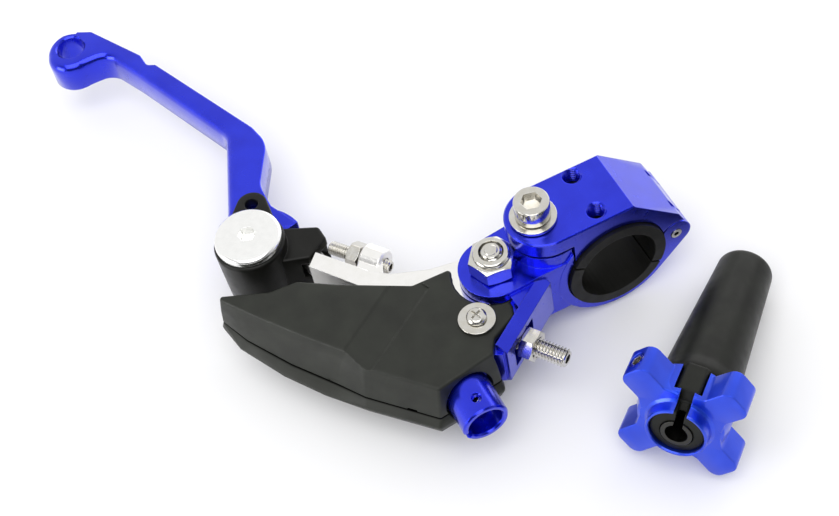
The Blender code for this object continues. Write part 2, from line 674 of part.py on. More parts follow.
def rounded_open(corners, step=12.0):
    """Open run of points; the corners with a radius are rounded."""
    closed = rounded([(*corners[0][:2], 0.0)] + list(corners[1:-1]) + [(*corners[-1][:2], 0.0)], step)
    return closed


def make_blade():
    cx, cy = KNUCKLE
    root = [(cx - 9.0, cy - 3.4)]
    blade = prism("lever_blade", blade_outline() + root, -BLADE_HALF, BLADE_HALF)
    soften(blade, 0.9, 2, 50.0)
    tail = [(cx, cy + 2.0)] + arc(KNUCKLE, 14.8, 101.0, 150.0, 5)
    fuse(blade, prism("t", tail, 0.1 - BLADE_HALF, BLADE_HALF - 0.1))
    cut(blade, sector("t", KNUCKLE, 40.0, 20.0, 100.5, -10.0, 10.0))
    # Root disc round the fold bolt, with the spring's pocket.
    fuse(blade, rod("t", (cx, cy, 0.05 - BLADE_HALF), (cx, cy, BLADE_HALF - 0.05), 7.8, 40))
    cut(blade, rod("t", (cx, cy, -20.0), (cx, cy, 20.0), 4.6, 28))
    cut(blade, rod("t", (cx, cy, 0.5), (cx, cy, 12.0), 6.7, 28))
    cut(blade, rod("t", (*EYE_HOLE, -20.0), (*EYE_HOLE, 20.0), EYE_HOLE_R, 32))
    dress(blade, "blue", (cx, cy, 0.0))
    bush = tube("fold_bush", (cx, cy, -BLADE_HALF), (cx, cy, BLADE_HALF), 4.3, FOLD_BOLT_R + 0.2, 28)
    dress(bush, "bronze")


def make_fold_bolt():
    """Wide capped bolt that the blade folds round, and its nut below."""
    cx, cy = KNUCKLE
    profile = [(0.0, -11.8), (2.6, -11.8), (FOLD_BOLT_R, -11.4), (FOLD_BOLT_R, 10.3), (9.0, 10.3),
               (9.2, 10.6), (9.2, 12.0), (8.6, 12.6), (0.0, 13.3)]
    bolt = turned("fold_bolt", profile, (cx, cy, 0.0), (0.0, 0.0, 1.0), 32)
    cut(bolt, along("t", hexagon(4.4), (cx, cy, 11.2), (0.0, 0.0, 1.0), 5.0, 12.0))
    dress(bolt, "steel")
    spring = coil("fold_spring", (cx, cy, 1.4), (0.0, 0.0, 1.0), 5.6, 0.45, 3.0, 1.1)
    dress(spring, "steel", (cx, cy, 0.0))
    hex_nut("fold_nut", (cx, cy, -12.3), (0.0, 0.0, 1.0), 9.0, 3.0, FOLD_BOLT_R + GAP)


# ---------------------------------------------------------------- dust cover

def cover_corners(inset=0.0, full=0.0):
    """Top view of the cover: hollowed round the pivot, long towards the front.

    The inset moves the edge inwards. Full runs from 0, the upper half's stepped
    front, to 1, the lower half's round one.
    """
    rear = [(13.2, -31.9, 0.8), (11.4, -31.9, 0.0), (11.4, -48.2, 10.6), (-5.4, -40.4, 1.0),
            (-5.8, -51.6, 2.0), (-16.2, -68.2, 6.0), (-22.8, -77.4, 3.0), (-23.5, -85.2, 4.0)]
    stepped = [(-29.9, -99.2, 0.9), (-18.5, -91.8), (-6.7, -83.6), (4.6, -75.1, 5.0), (11.0, -73.4, 3.0),
               (26.6, -59.6, 1.0), (24.0, -43.1, 1.2)]
    full_front = [(-30.1, -99.8, 0.9), (-20.0, -98.0), (-6.0, -91.0), (5.0, -83.8, 5.0), (14.0, -76.4, 3.0),
                  (29.4, -62.2, 1.0), (27.4, -42.4, 1.2)]
    front = []
    for one, two in zip(stepped, full_front):
        front.append((one[0] + (two[0] - one[0]) * full, one[1] + (two[1] - one[1]) * full, *one[2:]))
    return shrink(rear + front + [(19.8, -40.4, 1.5), (16.2, -32.9, 2.0)], inset)


def cover_ring(z, inset=0.0, full=0.0):
    """One level of the cover's outside."""
    return [(x, y, z) for x, y in rounded(cover_corners(inset, full), fixed=4)]


def hollow_cover(cover, low, high, full):
    """Open the cover's inside, its rear, the pivot side and the adjuster's arch."""
    cut(cover, prism("t", rounded(cover_corners(COVER_WALL, full), 30.0), low, high))
    rear = [(16.0, -20.0), (-60.0, -20.0), (-60.0, -84.0), (-25.2, -84.0), (-22.4, -80.0), (-12.2, -66.4),
            (-2.6, -51.0), (-2.6, -44.2), (16.0, -44.4)]
    cut(cover, prism("t", rear, low - 0.05, high + 0.05))
    wall = [wall_point(2.0, -11.0)[:2], wall_point(2.0, 20.0)[:2], wall_point(-6.0, 20.0)[:2],
            wall_point(-6.0, -11.0)[:2]]
    cut(cover, prism("t", wall, low - 0.1, high + 0.1))
    cut(cover, rod("t", (12.0, CABLE_Y, 0.0), (40.0, CABLE_Y, 0.0), 7.0, 32))
    cut(cover, rod("t", (*COVER_SCREW, -20.0), (*COVER_SCREW, 20.0), 1.8, 20))


def make_covers():
    """Upper and lower halves of the dust cover, which meet at a seam."""
    rings = [cover_ring(COVER_SEAM + 0.15, 0.0, 0.6), cover_ring(3.0, 0.0, 0.36), cover_ring(COVER_TOP - 0.8, 0.0),
             cover_ring(COVER_TOP, 0.5)]
    upper = loft("cover_upper", rings)
    hollow_cover(upper, -6.0, COVER_TOP - COVER_WALL, 0.0)
    dress(upper, "black")
    rings = [cover_ring(COVER_BOTTOM, 1.6, 0.92), cover_ring(COVER_BOTTOM + 1.2, 1.0, 0.95),
             cover_ring(-5.0, 0.2, 1.0), cover_ring(COVER_SEAM - 0.15, 0.0, 0.6)]
    lower = loft("cover_lower", rings)
    hollow_cover(lower, COVER_BOTTOM + COVER_WALL, 6.0, 0.3)
    dress(lower, "black")


# ---------------------------------------------------------------- loose wheel and boot

def wheel_frame():
    """Matrix from the unit's own frame: Z runs along its axis, out of the hub."""
    azimuth = radians(WHEEL_AZIMUTH)
    tilt = radians(WHEEL_TILT)
    w = Vector((cos(azimuth) * cos(tilt), sin(azimuth) * cos(tilt), sin(tilt)))
    e1 = Vector((0.0, 0.0, 1.0)).cross(w).normalized()
    e2 = w.cross(e1)
    matrix = Matrix((e1, e2, w)).transposed().to_4x4()
    return Matrix.Translation(Vector(WHEEL_AT)) @ matrix


def ray_outline(angle, near, far, half, radius=0.0):
    """Bar pointing out from the axis at an angle, its far corners rounded."""
    out = Vector((cos(radians(angle)), sin(radians(angle))))
    side = Vector((-out.y, out.x))
    corners = []
    for reach, across, r in ((near, -half, 0.0), (far, -half, radius), (far, half, radius), (near, half, 0.0)):
        place = out * reach + side * across
        corners.append((place.x, place.y, r))
    return rounded(corners, 18.0)


def radial(angle, reach, height):
    """Point in the unit's frame at a reach from its axis."""
    return Vector((reach * cos(radians(angle)), reach * sin(radians(angle)), height))


def make_wheel_unit():
    """Four-armed adjuster wheel with its set screw and click ball, and the boot."""
    place = wheel_frame()
    up = (0.0, 0.0, 1.0)
    profile = [(HUB_BORE_R, -13.0), (11.4, -13.0), (11.8, -12.6), (11.8, -6.5), (8.9, -1.6), (8.2, 0.0),
               (HUB_BORE_R + 0.4, 0.0), (HUB_BORE_R, -0.4)]
    wheel = turned("star_wheel", profile, (0.0, 0.0, 0.0), up, 36)
    for angle in ARM_ANGLES:
        outline = ray_outline(angle, 8.6, ARM_TIP_R, 4.3, 2.4)
        slim = ray_outline(angle, 8.6, ARM_TIP_R - 0.5, 3.8, 2.0)
        rings = []
        for ring, z in ((slim, -12.2), (outline, -11.7), (outline, -4.2), (slim, -3.6)):
            rings.append([(x, y, z) for x, y in ring])
        fuse(wheel, loft("t", rings))
    cut(wheel, prism("t", ray_outline(SLOT_ANGLE, 0.0, 20.0, 1.7), -20.0, 5.0))
    cut(wheel, prism("t", ray_outline(SLOT_ANGLE, 0.1, 20.1, 3.5), -20.0, -5.0))
    screw_angle = ARM_ANGLES[0]
    cut(wheel, rod("t", radial(screw_angle, 3.0, -8.0), radial(screw_angle, 22.0, -8.0), 2.3, 20))
    axis = radial(screw_angle, 1.0, 0.0)
    screw = turned("wheel_set_screw", [(0.0, 0.0), (1.6, 0.0), (2.0, 0.4), (2.0, 5.4), (1.7, 5.7), (0.0, 5.7)],
                   radial(screw_angle, 12.2, -8.0), axis, 24)
    cut(screw, along("t", hexagon(2.0), radial(screw_angle, 15.8, -8.0), axis, 4.0))
    ball_profile = [(0.0, -1.6)] + [(1.6 * cos(radians(a)), 1.6 * sin(radians(a))) for a in range(-60, 61, 20)]
    ball = turned("detent_ball", ball_profile + [(0.0, 1.6)], radial(screw_angle, 8.0, -8.0), axis, 14)
    spring = coil("detent_spring", radial(screw_angle, 10.0, -8.0), axis, 1.5, 0.22, 3.0, 0.6)
    # Boot: a cone with a collar that plugs into the hub, and a key in its notch.
    cone = [(0.0, -13.3), (10.3, -13.3), (10.4, -15.0), (7.5, -58.3), (6.8, -60.8), (5.6, -61.6), (0.0, -61.6)]
    boot = turned("rubber_boot", cone, (0.8, 0.0, 0.0), up, 28)
    fuse(boot, rod("t", (0.0, 0.0, -16.0), (0.0, 0.0, -10.7), 6.6, 28))
    bore = [(0.0, -5.0), (5.3, -5.0), (5.3, -24.5), (4.0, -42.0), (4.0, -70.0), (0.0, -70.0)]
    cut(boot, turned("t", bore, (0.0, 0.0, 0.0), up, 24))
    fuse(boot, prism("t", ray_outline(SLOT_ANGLE, 6.0, 10.9, 3.2), -14.0, -5.4))
    sleeve = tube("boot_sleeve", (0.0, 0.0, -24.0), (0.0, 0.0, -8.0), 5.0, 3.9, 28)
    cut(sleeve, prism("t", ray_outline(SLOT_ANGLE, 0.0, 8.0, 1.2), -30.0, 0.0))
    for piece, look in ((wheel, "blue"), (screw, "steel"), (ball, "steel"), (spring, "steel"), (boot, "rubber"),
                        (sleeve, "steel")):
        piece.data.transform(place)
        dress(piece, look, WHEEL_AT)


def main():
    for obj in list(bpy.data.objects):
        bpy.data.objects.remove(obj)
    make_clamp_cap()
    make_perch()
    make_liner("liner_upper", SPLIT_DEG + 1.4, SPLIT_DEG + 178.6)
    make_liner("liner_lower", SPLIT_DEG + 181.4, SPLIT_DEG + 358.6)
    make_fasteners()
    make_adjuster()
    make_base()
    make_knuckle()
    make_blade()
    make_fold_bolt()
    make_covers()
    make_wheel_unit()


main()
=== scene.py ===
"""Looks of the folding clutch lever: finer pieces, surfaces, light and camera.

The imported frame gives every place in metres. Sizes that belong to the looks
alone are written in millimetres and scaled by MM. X runs along the handlebar,
Y points to the rider and Z is up, along the lever's pivot.
"""

import bpy
import bmesh
import json
from math import acos, atan2, cos, degrees, floor, pi, radians, sin, sqrt
from mathutils import Matrix, Vector


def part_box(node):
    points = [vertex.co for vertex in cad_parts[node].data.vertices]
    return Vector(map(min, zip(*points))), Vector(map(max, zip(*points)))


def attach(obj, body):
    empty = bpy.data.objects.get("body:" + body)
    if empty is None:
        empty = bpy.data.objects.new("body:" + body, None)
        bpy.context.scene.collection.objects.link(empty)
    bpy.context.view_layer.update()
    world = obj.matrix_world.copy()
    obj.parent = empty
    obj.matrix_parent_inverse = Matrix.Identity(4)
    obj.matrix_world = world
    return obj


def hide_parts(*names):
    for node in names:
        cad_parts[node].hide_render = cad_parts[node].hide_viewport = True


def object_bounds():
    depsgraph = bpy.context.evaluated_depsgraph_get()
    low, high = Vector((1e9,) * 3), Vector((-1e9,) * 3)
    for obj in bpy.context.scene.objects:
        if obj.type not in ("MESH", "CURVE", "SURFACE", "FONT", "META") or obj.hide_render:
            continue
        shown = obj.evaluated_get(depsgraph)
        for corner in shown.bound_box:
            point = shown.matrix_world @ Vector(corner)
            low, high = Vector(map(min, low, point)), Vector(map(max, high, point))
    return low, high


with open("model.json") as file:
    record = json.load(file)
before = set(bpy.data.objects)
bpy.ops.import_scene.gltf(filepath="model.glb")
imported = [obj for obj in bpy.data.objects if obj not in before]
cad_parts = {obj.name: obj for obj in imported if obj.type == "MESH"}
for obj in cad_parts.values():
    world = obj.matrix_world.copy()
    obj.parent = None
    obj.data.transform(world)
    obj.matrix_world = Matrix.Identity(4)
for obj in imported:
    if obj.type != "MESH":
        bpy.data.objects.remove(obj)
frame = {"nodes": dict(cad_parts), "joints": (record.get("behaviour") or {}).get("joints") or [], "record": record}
CAD_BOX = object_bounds()

MM = 0.001
UP = Vector((0.0, 0.0, 1.0))
JOINTS = {joint["name"]: joint for joint in frame["joints"]}

# ---------------------------------------------------------------- places from the frame


def corners(node):
    """Lowest and highest corners of a CAD node, in millimetres."""
    low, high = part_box(node)
    return low / MM, high / MM


def middle(node):
    low, high = corners(node)
    return (low + high) / 2


PIVOT = Vector(JOINTS["lever_pull"]["pos_m"]) / MM
REACH_PIN = Vector(JOINTS["reach_adjust"]["pos_m"]) / MM
KNUCKLE = Vector(JOINTS["blade_fold"]["pos_m"]) / MM
CABLE_Y = JOINTS["barrel_spin"]["pos_m"][1] / MM
STOP_AXIS = Vector(JOINTS["stop_adjust"]["axis"]).normalized()
REACH_AXIS = Vector(JOINTS["reach_travel"]["axis"]).normalized()
CLAMP_BOLT = middle("clamp_bolt")
CAP_TOP = corners("clamp_cap")[1].z
COVER_SCREW = middle("cover_screw_upper")

# ---------------------------------------------------------------- outlines


def arc(centre, radius, start, end, steps):
    """Points on an arc, angles in degrees."""
    points = []
    for i in range(steps + 1):
        angle = radians(start + (end - start) * i / steps)
        points.append((centre[0] + radius * cos(angle), centre[1] + radius * sin(angle)))
    return points


def corner_turn(shape, i):
    """One corner of a closed outline: place, ways to both neighbours, radius and turn."""
    corner = shape[i]
    here = Vector(corner[:2])
    before = (Vector(shape[i - 1][:2]) - here).normalized()
    after = (Vector(shape[(i + 1) % len(shape)][:2]) - here).normalized()
    radius = corner[2] if len(corner) > 2 else 0.0
    turn = pi - acos(max(-1.0, min(1.0, before.dot(after))))
    return here, before, after, radius, turn


def corner_arc(here, before, after, radius, turn, steps):
    """Arc that rounds one corner."""
    reach = radius * sin(turn / 2) / cos(turn / 2)
    centre = here + (before + after).normalized() * (radius / cos(turn / 2))
    first = here + before * reach - centre
    side = 1.0 if before.cross(after) < 0.0 else -1.0
    return [tuple(centre + Matrix.Rotation(side * turn * k / steps, 2) @ first) for k in range(steps + 1)]


def rounded(shape, step=6.0):
    """Closed outline whose corners (x, y, radius) are rounded by arcs of about one step per point."""
    points = []
    for i in range(len(shape)):
        here, before, after, radius, turn = corner_turn(shape, i)
        if radius <= 0.0 or turn < radians(2.0):
            points.append(tuple(here))
        else:
            steps = max(2, round(degrees(turn) / step))
            points += corner_arc(here, before, after, radius, turn, steps)
    return points


def fixed_round(shape, steps):
    """Rounded outline with the same number of points at every level of a loft."""
    points = []
    for i in range(len(shape)):
        here, before, after, radius, turn = corner_turn(shape, i)
        if radius <= 0.0:
            points.append(tuple(here))
        else:
            points += corner_arc(here, before, after, radius, turn, steps)
    return points


def hexagon(flats, turn=0.0):
    """Hexagon given its width across flats."""
    return arc((0.0, 0.0), flats / sqrt(3.0), turn, turn + 300.0, 5)


# ---------------------------------------------------------------- solids

def upright(axis):
    """Rotation that turns +Z onto the given direction."""
    return UP.rotation_difference(Vector(axis).normalized()).to_matrix()


def mesh_object(name, vertices, faces):
    """Object from millimetre points, with its faces pointing out."""
    mesh = bpy.data.meshes.new(name)
    mesh.from_pydata([Vector(v) for v in vertices], [], faces)
    build = bmesh.new()
    build.from_mesh(mesh)
    bmesh.ops.remove_doubles(build, verts=build.verts, dist=0.0005)
    bmesh.ops.recalc_face_normals(build, faces=build.faces)
    build.to_mesh(mesh)
    build.free()
    obj = bpy.data.objects.new(name, mesh)
    bpy.context.collection.objects.link(obj)
    return obj


def loft(name, rings):
    """Closed solid through rings that all have the same number of points."""
    count = len(rings[0])
    vertices = [point for ring in rings for point in ring]
    faces = [tuple(range(count)), tuple(range(len(vertices) - count, len(vertices)))]
    for level in range(len(rings) - 1):
        low = level * count
        for i in range(count):
            j = (i + 1) % count
            faces.append((low + i, low + j, low + count + j, low + count + i))
    return mesh_object(name, vertices, faces)


def level(outline, z):
    """An XY outline at one height."""
    return [(x, y, z) for x, y in outline]


def prism(name, outline, low, high):
    """An XY outline, extruded from low to high along Z."""
    return loft(name, [level(outline, low), level(outline, high)])


def turned(name, profile, at, axis, sides=64):
    """Solid turned from (radius, height) points; a zero radius closes an end."""
    matrix = upright(axis)
    at = Vector(at)
    rings = []
    vertices = []
    faces = []
    for radius, height in profile:
        if radius == 0.0:
            rings.append([len(vertices)])
            vertices.append(at + matrix @ Vector((0.0, 0.0, height)))
            continue
        rings.append(list(range(len(vertices), len(vertices) + sides)))
        for k in range(sides):
            angle = 2 * pi * k / sides
            vertices.append(at + matrix @ Vector((radius * cos(angle), radius * sin(angle), height)))
    pairs = list(zip(rings, rings[1:]))
    if profile[0][0] > 0.0 and profile[-1][0] > 0.0:
        pairs.append((rings[-1], rings[0]))
    for one, two in pairs:
        for k in range(sides):
            j = (k + 1) % sides
            if len(one) == 1:
                faces.append((one[0], two[k], two[j]))
            elif len(two) == 1:
                faces.append((one[k], one[j], two[0]))
            else:
                faces.append((one[k], one[j], two[j], two[k]))
    return mesh_object(name, vertices, faces)


def rod(start, end, radius, sides=48):
    """Plain cylinder between two points."""
    axis = Vector(end) - Vector(start)
    profile = [(0.0, 0.0), (radius, 0.0), (radius, axis.length), (0.0, axis.length)]
    return turned("tool", profile, start, axis, sides)


def along(name, outline, at, axis, length, roll=0.0):
    """An outline drawn square to an axis and pushed along it."""
    matrix = upright(axis) @ Matrix.Rotation(radians(roll), 3, "Z")
    rings = []
    for height in (0.0, length):
        rings.append([Vector(at) + matrix @ Vector((x, y, height)) for x, y in outline])
    return loft(name, rings)


def eased(profile, radius, steps=3):
    """Turned profile with every corner that is wide enough rounded off."""
    points = [profile[0]]
    for before, here, after in zip(profile, profile[1:], profile[2:]):
        one = Vector(before) - Vector(here)
        two = Vector(after) - Vector(here)
        reach = min(radius, one.length * 0.45, two.length * 0.45)
        start = Vector(here) + one.normalized() * reach
        end = Vector(here) + two.normalized() * reach
        for k in range(steps + 1):
            t = k / steps
            point = start * (1 - t) ** 2 + Vector(here) * 2 * t * (1 - t) + end * t ** 2
            points.append((point.x, point.y))
    points.append(profile[-1])
    return points


def combine(obj, others, operation):
    """Boolean with other solids, which are then removed."""
    for other in others:
        for solid in (obj, other):
            build = bmesh.new()
            build.from_mesh(solid.data)
            bmesh.ops.dissolve_limit(build, angle_limit=radians(0.2), verts=build.verts, edges=build.edges)
            bmesh.ops.triangulate(build, faces=build.faces)
            build.to_mesh(solid.data)
            build.free()
        modifier = obj.modifiers.new("Boolean", "BOOLEAN")
        modifier.operation = operation
        modifier.solver = "EXACT"
        modifier.object = other
        graph = bpy.context.evaluated_depsgraph_get()
        graph.update()
        mesh = bpy.data.meshes.new_from_object(obj.evaluated_get(graph))
        obj.modifiers.clear()
        obj.data = mesh
        bpy.data.objects.remove(other)
    return obj


def cut(obj, *tools):
    return combine(obj, tools, "DIFFERENCE")


def fuse(obj, *tools):
    return combine(obj, tools, "UNION")


def settle_in(obj, body, look, replaced=(), angle=32.0):
    """Scale a finished millimetre piece, give it its surface and let it ride on its body."""
    obj.data.transform(Matrix.Scale(MM, 4))
    obj.data.materials.clear()
    obj.data.materials.append(look)
    obj.data.shade_smooth()
    obj.data.set_sharp_from_angle(angle=radians(angle))
    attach(obj, body)
    if replaced:
        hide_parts(*replaced)


# ---------------------------------------------------------------- surfaces

class Surface:
    """A procedural material, built up node by node on a Principled shader."""

    def __init__(self, name, metallic, coat=0.0, coat_roughness=0.1, specular=0.5):
        self.material = bpy.data.materials.new(name)
        self.material.use_nodes = True
        self.tree = self.material.node_tree
        self.shader = self.tree.nodes["Principled BSDF"]
        self.shader.inputs["Metallic"].default_value = metallic
        self.shader.inputs["Coat Weight"].default_value = coat
        self.shader.inputs["Coat Roughness"].default_value = coat_roughness
        self.shader.inputs["Specular IOR Level"].default_value = specular
        self.place = self.node("ShaderNodeTexCoord").outputs["Object"]
        self.normal = None
        self.colour = None

    def node(self, kind, **values):
        node = self.tree.nodes.new(kind)
        for key, value in values.items():
            setattr(node, key, value)
        return node

    def link(self, source, target):
        self.tree.links.new(source, target)

    def noise(self, size, detail=3.0, stretch=(1.0, 1.0, 1.0)):
        """Noise whose features are about the given size in millimetres."""
        mapping = self.node("ShaderNodeMapping")
        mapping.inputs["Scale"].default_value = stretch
        self.link(self.place, mapping.inputs["Vector"])
        noise = self.node("ShaderNodeTexNoise")
        noise.inputs["Scale"].default_value = 1.0 / (size * MM)
        noise.inputs["Detail"].default_value = detail
        self.link(mapping.outputs["Vector"], noise.inputs["Vector"])
        return noise.outputs["Fac"]

    def span(self, source, low, high, new_low, new_high):
        """Map a range of values onto another, clamped."""
        node = self.node("ShaderNodeMapRange")
        for key, value in (("From Min", low), ("From Max", high), ("To Min", new_low), ("To Max", new_high)):
            node.inputs[key].default_value = value
        self.link(source, node.inputs["Value"])
        return node.outputs["Result"]

    def maths(self, operation, one, two):
        node = self.node("ShaderNodeMath", operation=operation)
        for socket, value in zip(node.inputs, (one, two)):
            if isinstance(value, (int, float)):
                socket.default_value = value
            else:
                self.link(value, socket)
        return node.outputs["Value"]

    def blend(self, factor, one, two):
        """Mix two colours, each a tuple or another node's output."""
        node = self.node("ShaderNodeMix", data_type="RGBA")
        self.link(factor, node.inputs["Factor"])
        for socket, value in ((node.inputs["A"], one), (node.inputs["B"], two)):
            if isinstance(value, tuple):
                socket.default_value = (*value, 1.0)
            else:
                self.link(value, socket)
        return node.outputs["Result"]

    def round_edges(self, radius):
        """Soften the look of sharp edges; also gives the mask used for edge wear."""
        bevel = self.node("ShaderNodeBevel", samples=6)
        bevel.inputs["Radius"].default_value = radius * MM
        self.normal = bevel.outputs["Normal"]
        geometry = self.node("ShaderNodeNewGeometry")
        dot = self.node("ShaderNodeVectorMath", operation="DOT_PRODUCT")
        self.link(self.normal, dot.inputs[0])
        self.link(geometry.outputs["Normal"], dot.inputs[1])
        return self.span(dot.outputs["Value"], 0.985, 0.80, 0.0, 1.0)

    def bump(self, source, height, strength=1.0):
        """Relief whose full height is given in millimetres."""
        bump = self.node("ShaderNodeBump")
        bump.inputs["Distance"].default_value = height * MM
        bump.inputs["Strength"].default_value = strength
        self.link(source, bump.inputs["Height"])
        if self.normal:
            self.link(self.normal, bump.inputs["Normal"])
        self.normal = bump.outputs["Normal"]

    def paint(self, colour):
        self.colour = colour
        self.link(colour, self.shader.inputs["Base Color"])

    def gloss(self, source):
        self.link(source, self.shader.inputs["Roughness"])

    def done(self):
        if self.normal:
            self.link(self.normal, self.shader.inputs["Normal"])
        return self.material


def make_anodised(name, deep, lit, rough):
    """Blue dye in a clear oxide layer over fine-turned aluminium."""
    s = Surface(name, 0.93, coat=0.7, coat_roughness=0.16)
    wear = s.round_edges(0.35)
    cloud = s.noise(9.0, 2.0)
    body = s.blend(s.span(cloud, 0.35, 0.65, 0.0, 1.0), deep, lit)
    rubbed = s.maths("MULTIPLY", wear, s.span(s.noise(1.6, 4.0), 0.4, 0.75, 0.15, 0.55))
    s.paint(s.blend(rubbed, body, (0.12, 0.15, 0.85)))
    s.gloss(s.span(s.noise(2.2, 4.0), 0.3, 0.7, rough, rough + 0.07))
    s.bump(s.noise(0.14, 2.0), 0.003, 0.4)
    s.bump(s.noise(0.8, 2.0, (0.15, 1.0, 1.0)), 0.0015, 0.25)
    return s.done()


def make_moulding(name, dark, light, rough, grain, relief, edge, specular, seam=None):
    """Black moulded plastic or coated metal with a fine grain."""
    s = Surface(name, 0.0, specular=specular)
    wear = s.round_edges(edge)
    cloud = s.span(s.noise(7.0, 4.0), 0.3, 0.7, 0.0, 1.0)
    scuff = s.maths("MULTIPLY", wear, s.span(s.noise(1.1, 4.0), 0.35, 0.8, 0.1, 0.6))
    pale = tuple(min(1.0, value * 2.6) for value in light)
    s.paint(s.blend(scuff, s.blend(cloud, dark, light), pale))
    s.gloss(s.span(s.noise(3.0, 5.0), 0.3, 0.7, rough - 0.06, rough + 0.08))
    s.bump(s.noise(grain, 4.0), relief, 0.6)
    s.bump(s.noise(grain * 9.0, 3.0), relief * 1.5, 0.25)
    if seam is not None:
        # Painted shade line in the joint between two halves, at one height: colour near black and specular off
        # there, standing in for the seam's shadow.
        split = s.node("ShaderNodeSeparateXYZ")
        s.link(s.place, split.inputs["Vector"])
        away = s.maths("ABSOLUTE", s.maths("SUBTRACT", split.outputs["Z"], seam * MM), 0.0)
        # clean is 1 away from the seam and 0 inside the painted shade line.
        clean = s.span(away, 0.22 * MM, 0.40 * MM, 0.0, 1.0)
        s.paint(s.blend(clean, (0.001, 0.001, 0.001), s.colour))
        s.link(s.maths("MULTIPLY", clean, specular), s.shader.inputs["Specular IOR Level"])
    return s.done()


def make_plated(name, colour, low, high, scratches=0.4, edge=0.15):
    """Bright plated or polished metal with fine scratches and a little haze."""
    s = Surface(name, 1.0)
    wear = s.round_edges(edge)
    tone = s.span(s.noise(2.5, 3.0), 0.3, 0.7, 0.0, 1.0)
    warm = tuple(value * shade for value, shade in zip(colour, (0.93, 0.91, 0.86)))
    bright = tuple(min(1.0, value * 1.12) for value in colour)
    s.paint(s.blend(wear, s.blend(tone, colour, warm), bright))
    s.gloss(s.span(s.noise(1.2, 5.0), 0.3, 0.75, low, high))
    s.bump(s.noise(0.12, 2.0, (1.0, 0.12, 1.0)), 0.0012, scratches)
    s.bump(s.noise(1.8, 2.0), 0.003, 0.15)
    return s.done()


def make_polished_alloy():
    """Cast lever base: flat faces polished, sides bead-blasted."""
    s = Surface("polished_alloy", 1.0)
    wear = s.round_edges(0.3)
    geometry = s.node("ShaderNodeNewGeometry")
    split = s.node("ShaderNodeSeparateXYZ")
    s.link(geometry.outputs["Normal"], split.inputs["Vector"])
    flat = s.span(s.maths("ABSOLUTE", split.outputs["Z"], 0.0), 0.7, 0.95, 0.0, 1.0)
    side = s.maths("SUBTRACT", 1.0, flat)
    tone = s.span(s.noise(3.0, 3.0), 0.3, 0.7, 0.0, 1.0)
    body = s.blend(tone, (0.90, 0.89, 0.86), (0.94, 0.93, 0.91))
    s.paint(s.blend(wear, body, (0.96, 0.96, 0.95)))
    haze = s.span(s.noise(1.0, 4.0), 0.3, 0.7, 0.08, 0.16)
    s.gloss(s.maths("ADD", haze, s.maths("MULTIPLY", side, 0.24)))
    s.bump(s.maths("MULTIPLY", s.noise(0.22, 2.0), side), 0.03, 0.7)
    s.bump(s.noise(0.14, 2.0, (1.0, 0.1, 1.0)), 0.003, 0.3)
    return s.done()


def make_turned_silver():
    """Silver cap with the lathe's rings round the folding joint's axis."""
    s = Surface("silver_cap", 1.0)
    wear = s.round_edges(0.2)
    offset = s.node("ShaderNodeVectorMath", operation="SUBTRACT")
    s.link(s.place, offset.inputs[0])
    offset.inputs[1].default_value = tuple(KNUCKLE * MM)
    flatten = s.node("ShaderNodeVectorMath", operation="MULTIPLY")
    s.link(offset.outputs["Vector"], flatten.inputs[0])
    flatten.inputs[1].default_value = (1.0, 1.0, 0.0)
    length = s.node("ShaderNodeVectorMath", operation="LENGTH")
    s.link(flatten.outputs["Vector"], length.inputs[0])
    rings = s.maths("SINE", s.maths("MULTIPLY", length.outputs["Value"], 2 * pi / (0.14 * MM)), 0.0)
    tone = s.span(s.noise(2.0, 3.0), 0.3, 0.7, 0.0, 1.0)
    s.paint(s.blend(wear, s.blend(tone, (0.90, 0.90, 0.885), (0.94, 0.94, 0.925)), (0.99, 0.99, 0.98)))
    s.gloss(s.span(s.noise(1.4, 3.0), 0.3, 0.7, 0.20, 0.26))
    s.bump(rings, 0.001, 0.3)
    s.bump(s.noise(0.3, 2.0), 0.0006, 0.2)
    return s.done()


COVER_SEAM = -2.0
BLUE = make_anodised("blue_anodised", (0.004, 0.015, 0.60), (0.008, 0.023, 0.69), 0.21)
# Wheel's blue: a rougher satin finish, with its base colours lifted lighter as painted light for the brighter
# light its arms catch.
SATIN_BLUE_PAINTED_LIGHTER = make_anodised("blue_satin_painted_lighter", (0.010, 0.050, 0.64), (0.015, 0.068, 0.74), 0.32)
# The cover's material paints a shade line along the seam between its halves.
COVER = make_moulding("cover_black", (0.011, 0.012, 0.009), (0.018, 0.020, 0.015), rough=0.44,
                      grain=0.16, relief=0.010, edge=0.45, specular=0.32, seam=COVER_SEAM)
HOUSING = make_moulding("knuckle_black", (0.004, 0.004, 0.003), (0.009, 0.009, 0.008), rough=0.34,
                        grain=0.10, relief=0.004, edge=0.6, specular=0.20)
LINER = make_moulding("liner_black", (0.003, 0.003, 0.002), (0.006, 0.006, 0.005), rough=0.46,
                      grain=0.20, relief=0.008, edge=0.3, specular=0.22)
RUBBER = make_moulding("boot_rubber", (0.004, 0.004, 0.003), (0.009, 0.010, 0.007), rough=0.38,
                       grain=0.30, relief=0.008, edge=0.8, specular=0.18)
STEEL = make_plated("steel", (0.64, 0.63, 0.60), 0.10, 0.22)
BRONZE = make_plated("bronze", (0.62, 0.42, 0.20), 0.22, 0.36)
ALLOY = make_polished_alloy()
SLEEVE = make_plated("sleeve", (0.055, 0.055, 0.052), 0.30, 0.45)
SILVER = make_turned_silver()
LOOKS = {
    "blue_anodised": BLUE, "cover_black": COVER, "knuckle_black": HOUSING, "liner_black": LINER,
    "boot_rubber": RUBBER, "steel": STEEL, "bronze": BRONZE, "polished_alloy": ALLOY, "silver_cap": SILVER,
}
SLOTS = {part["node"]: part["material_slot"] for part in frame["record"]["subparts"]}


def dress_frame():
    """Give every CAD node the surface of its record slot."""
    for name, node in frame["nodes"].items():
        for index in range(len(node.material_slots)):
            node.material_slots[index].material = LOOKS[SLOTS[name]]


# ---------------------------------------------------------------- threads, screws and nuts

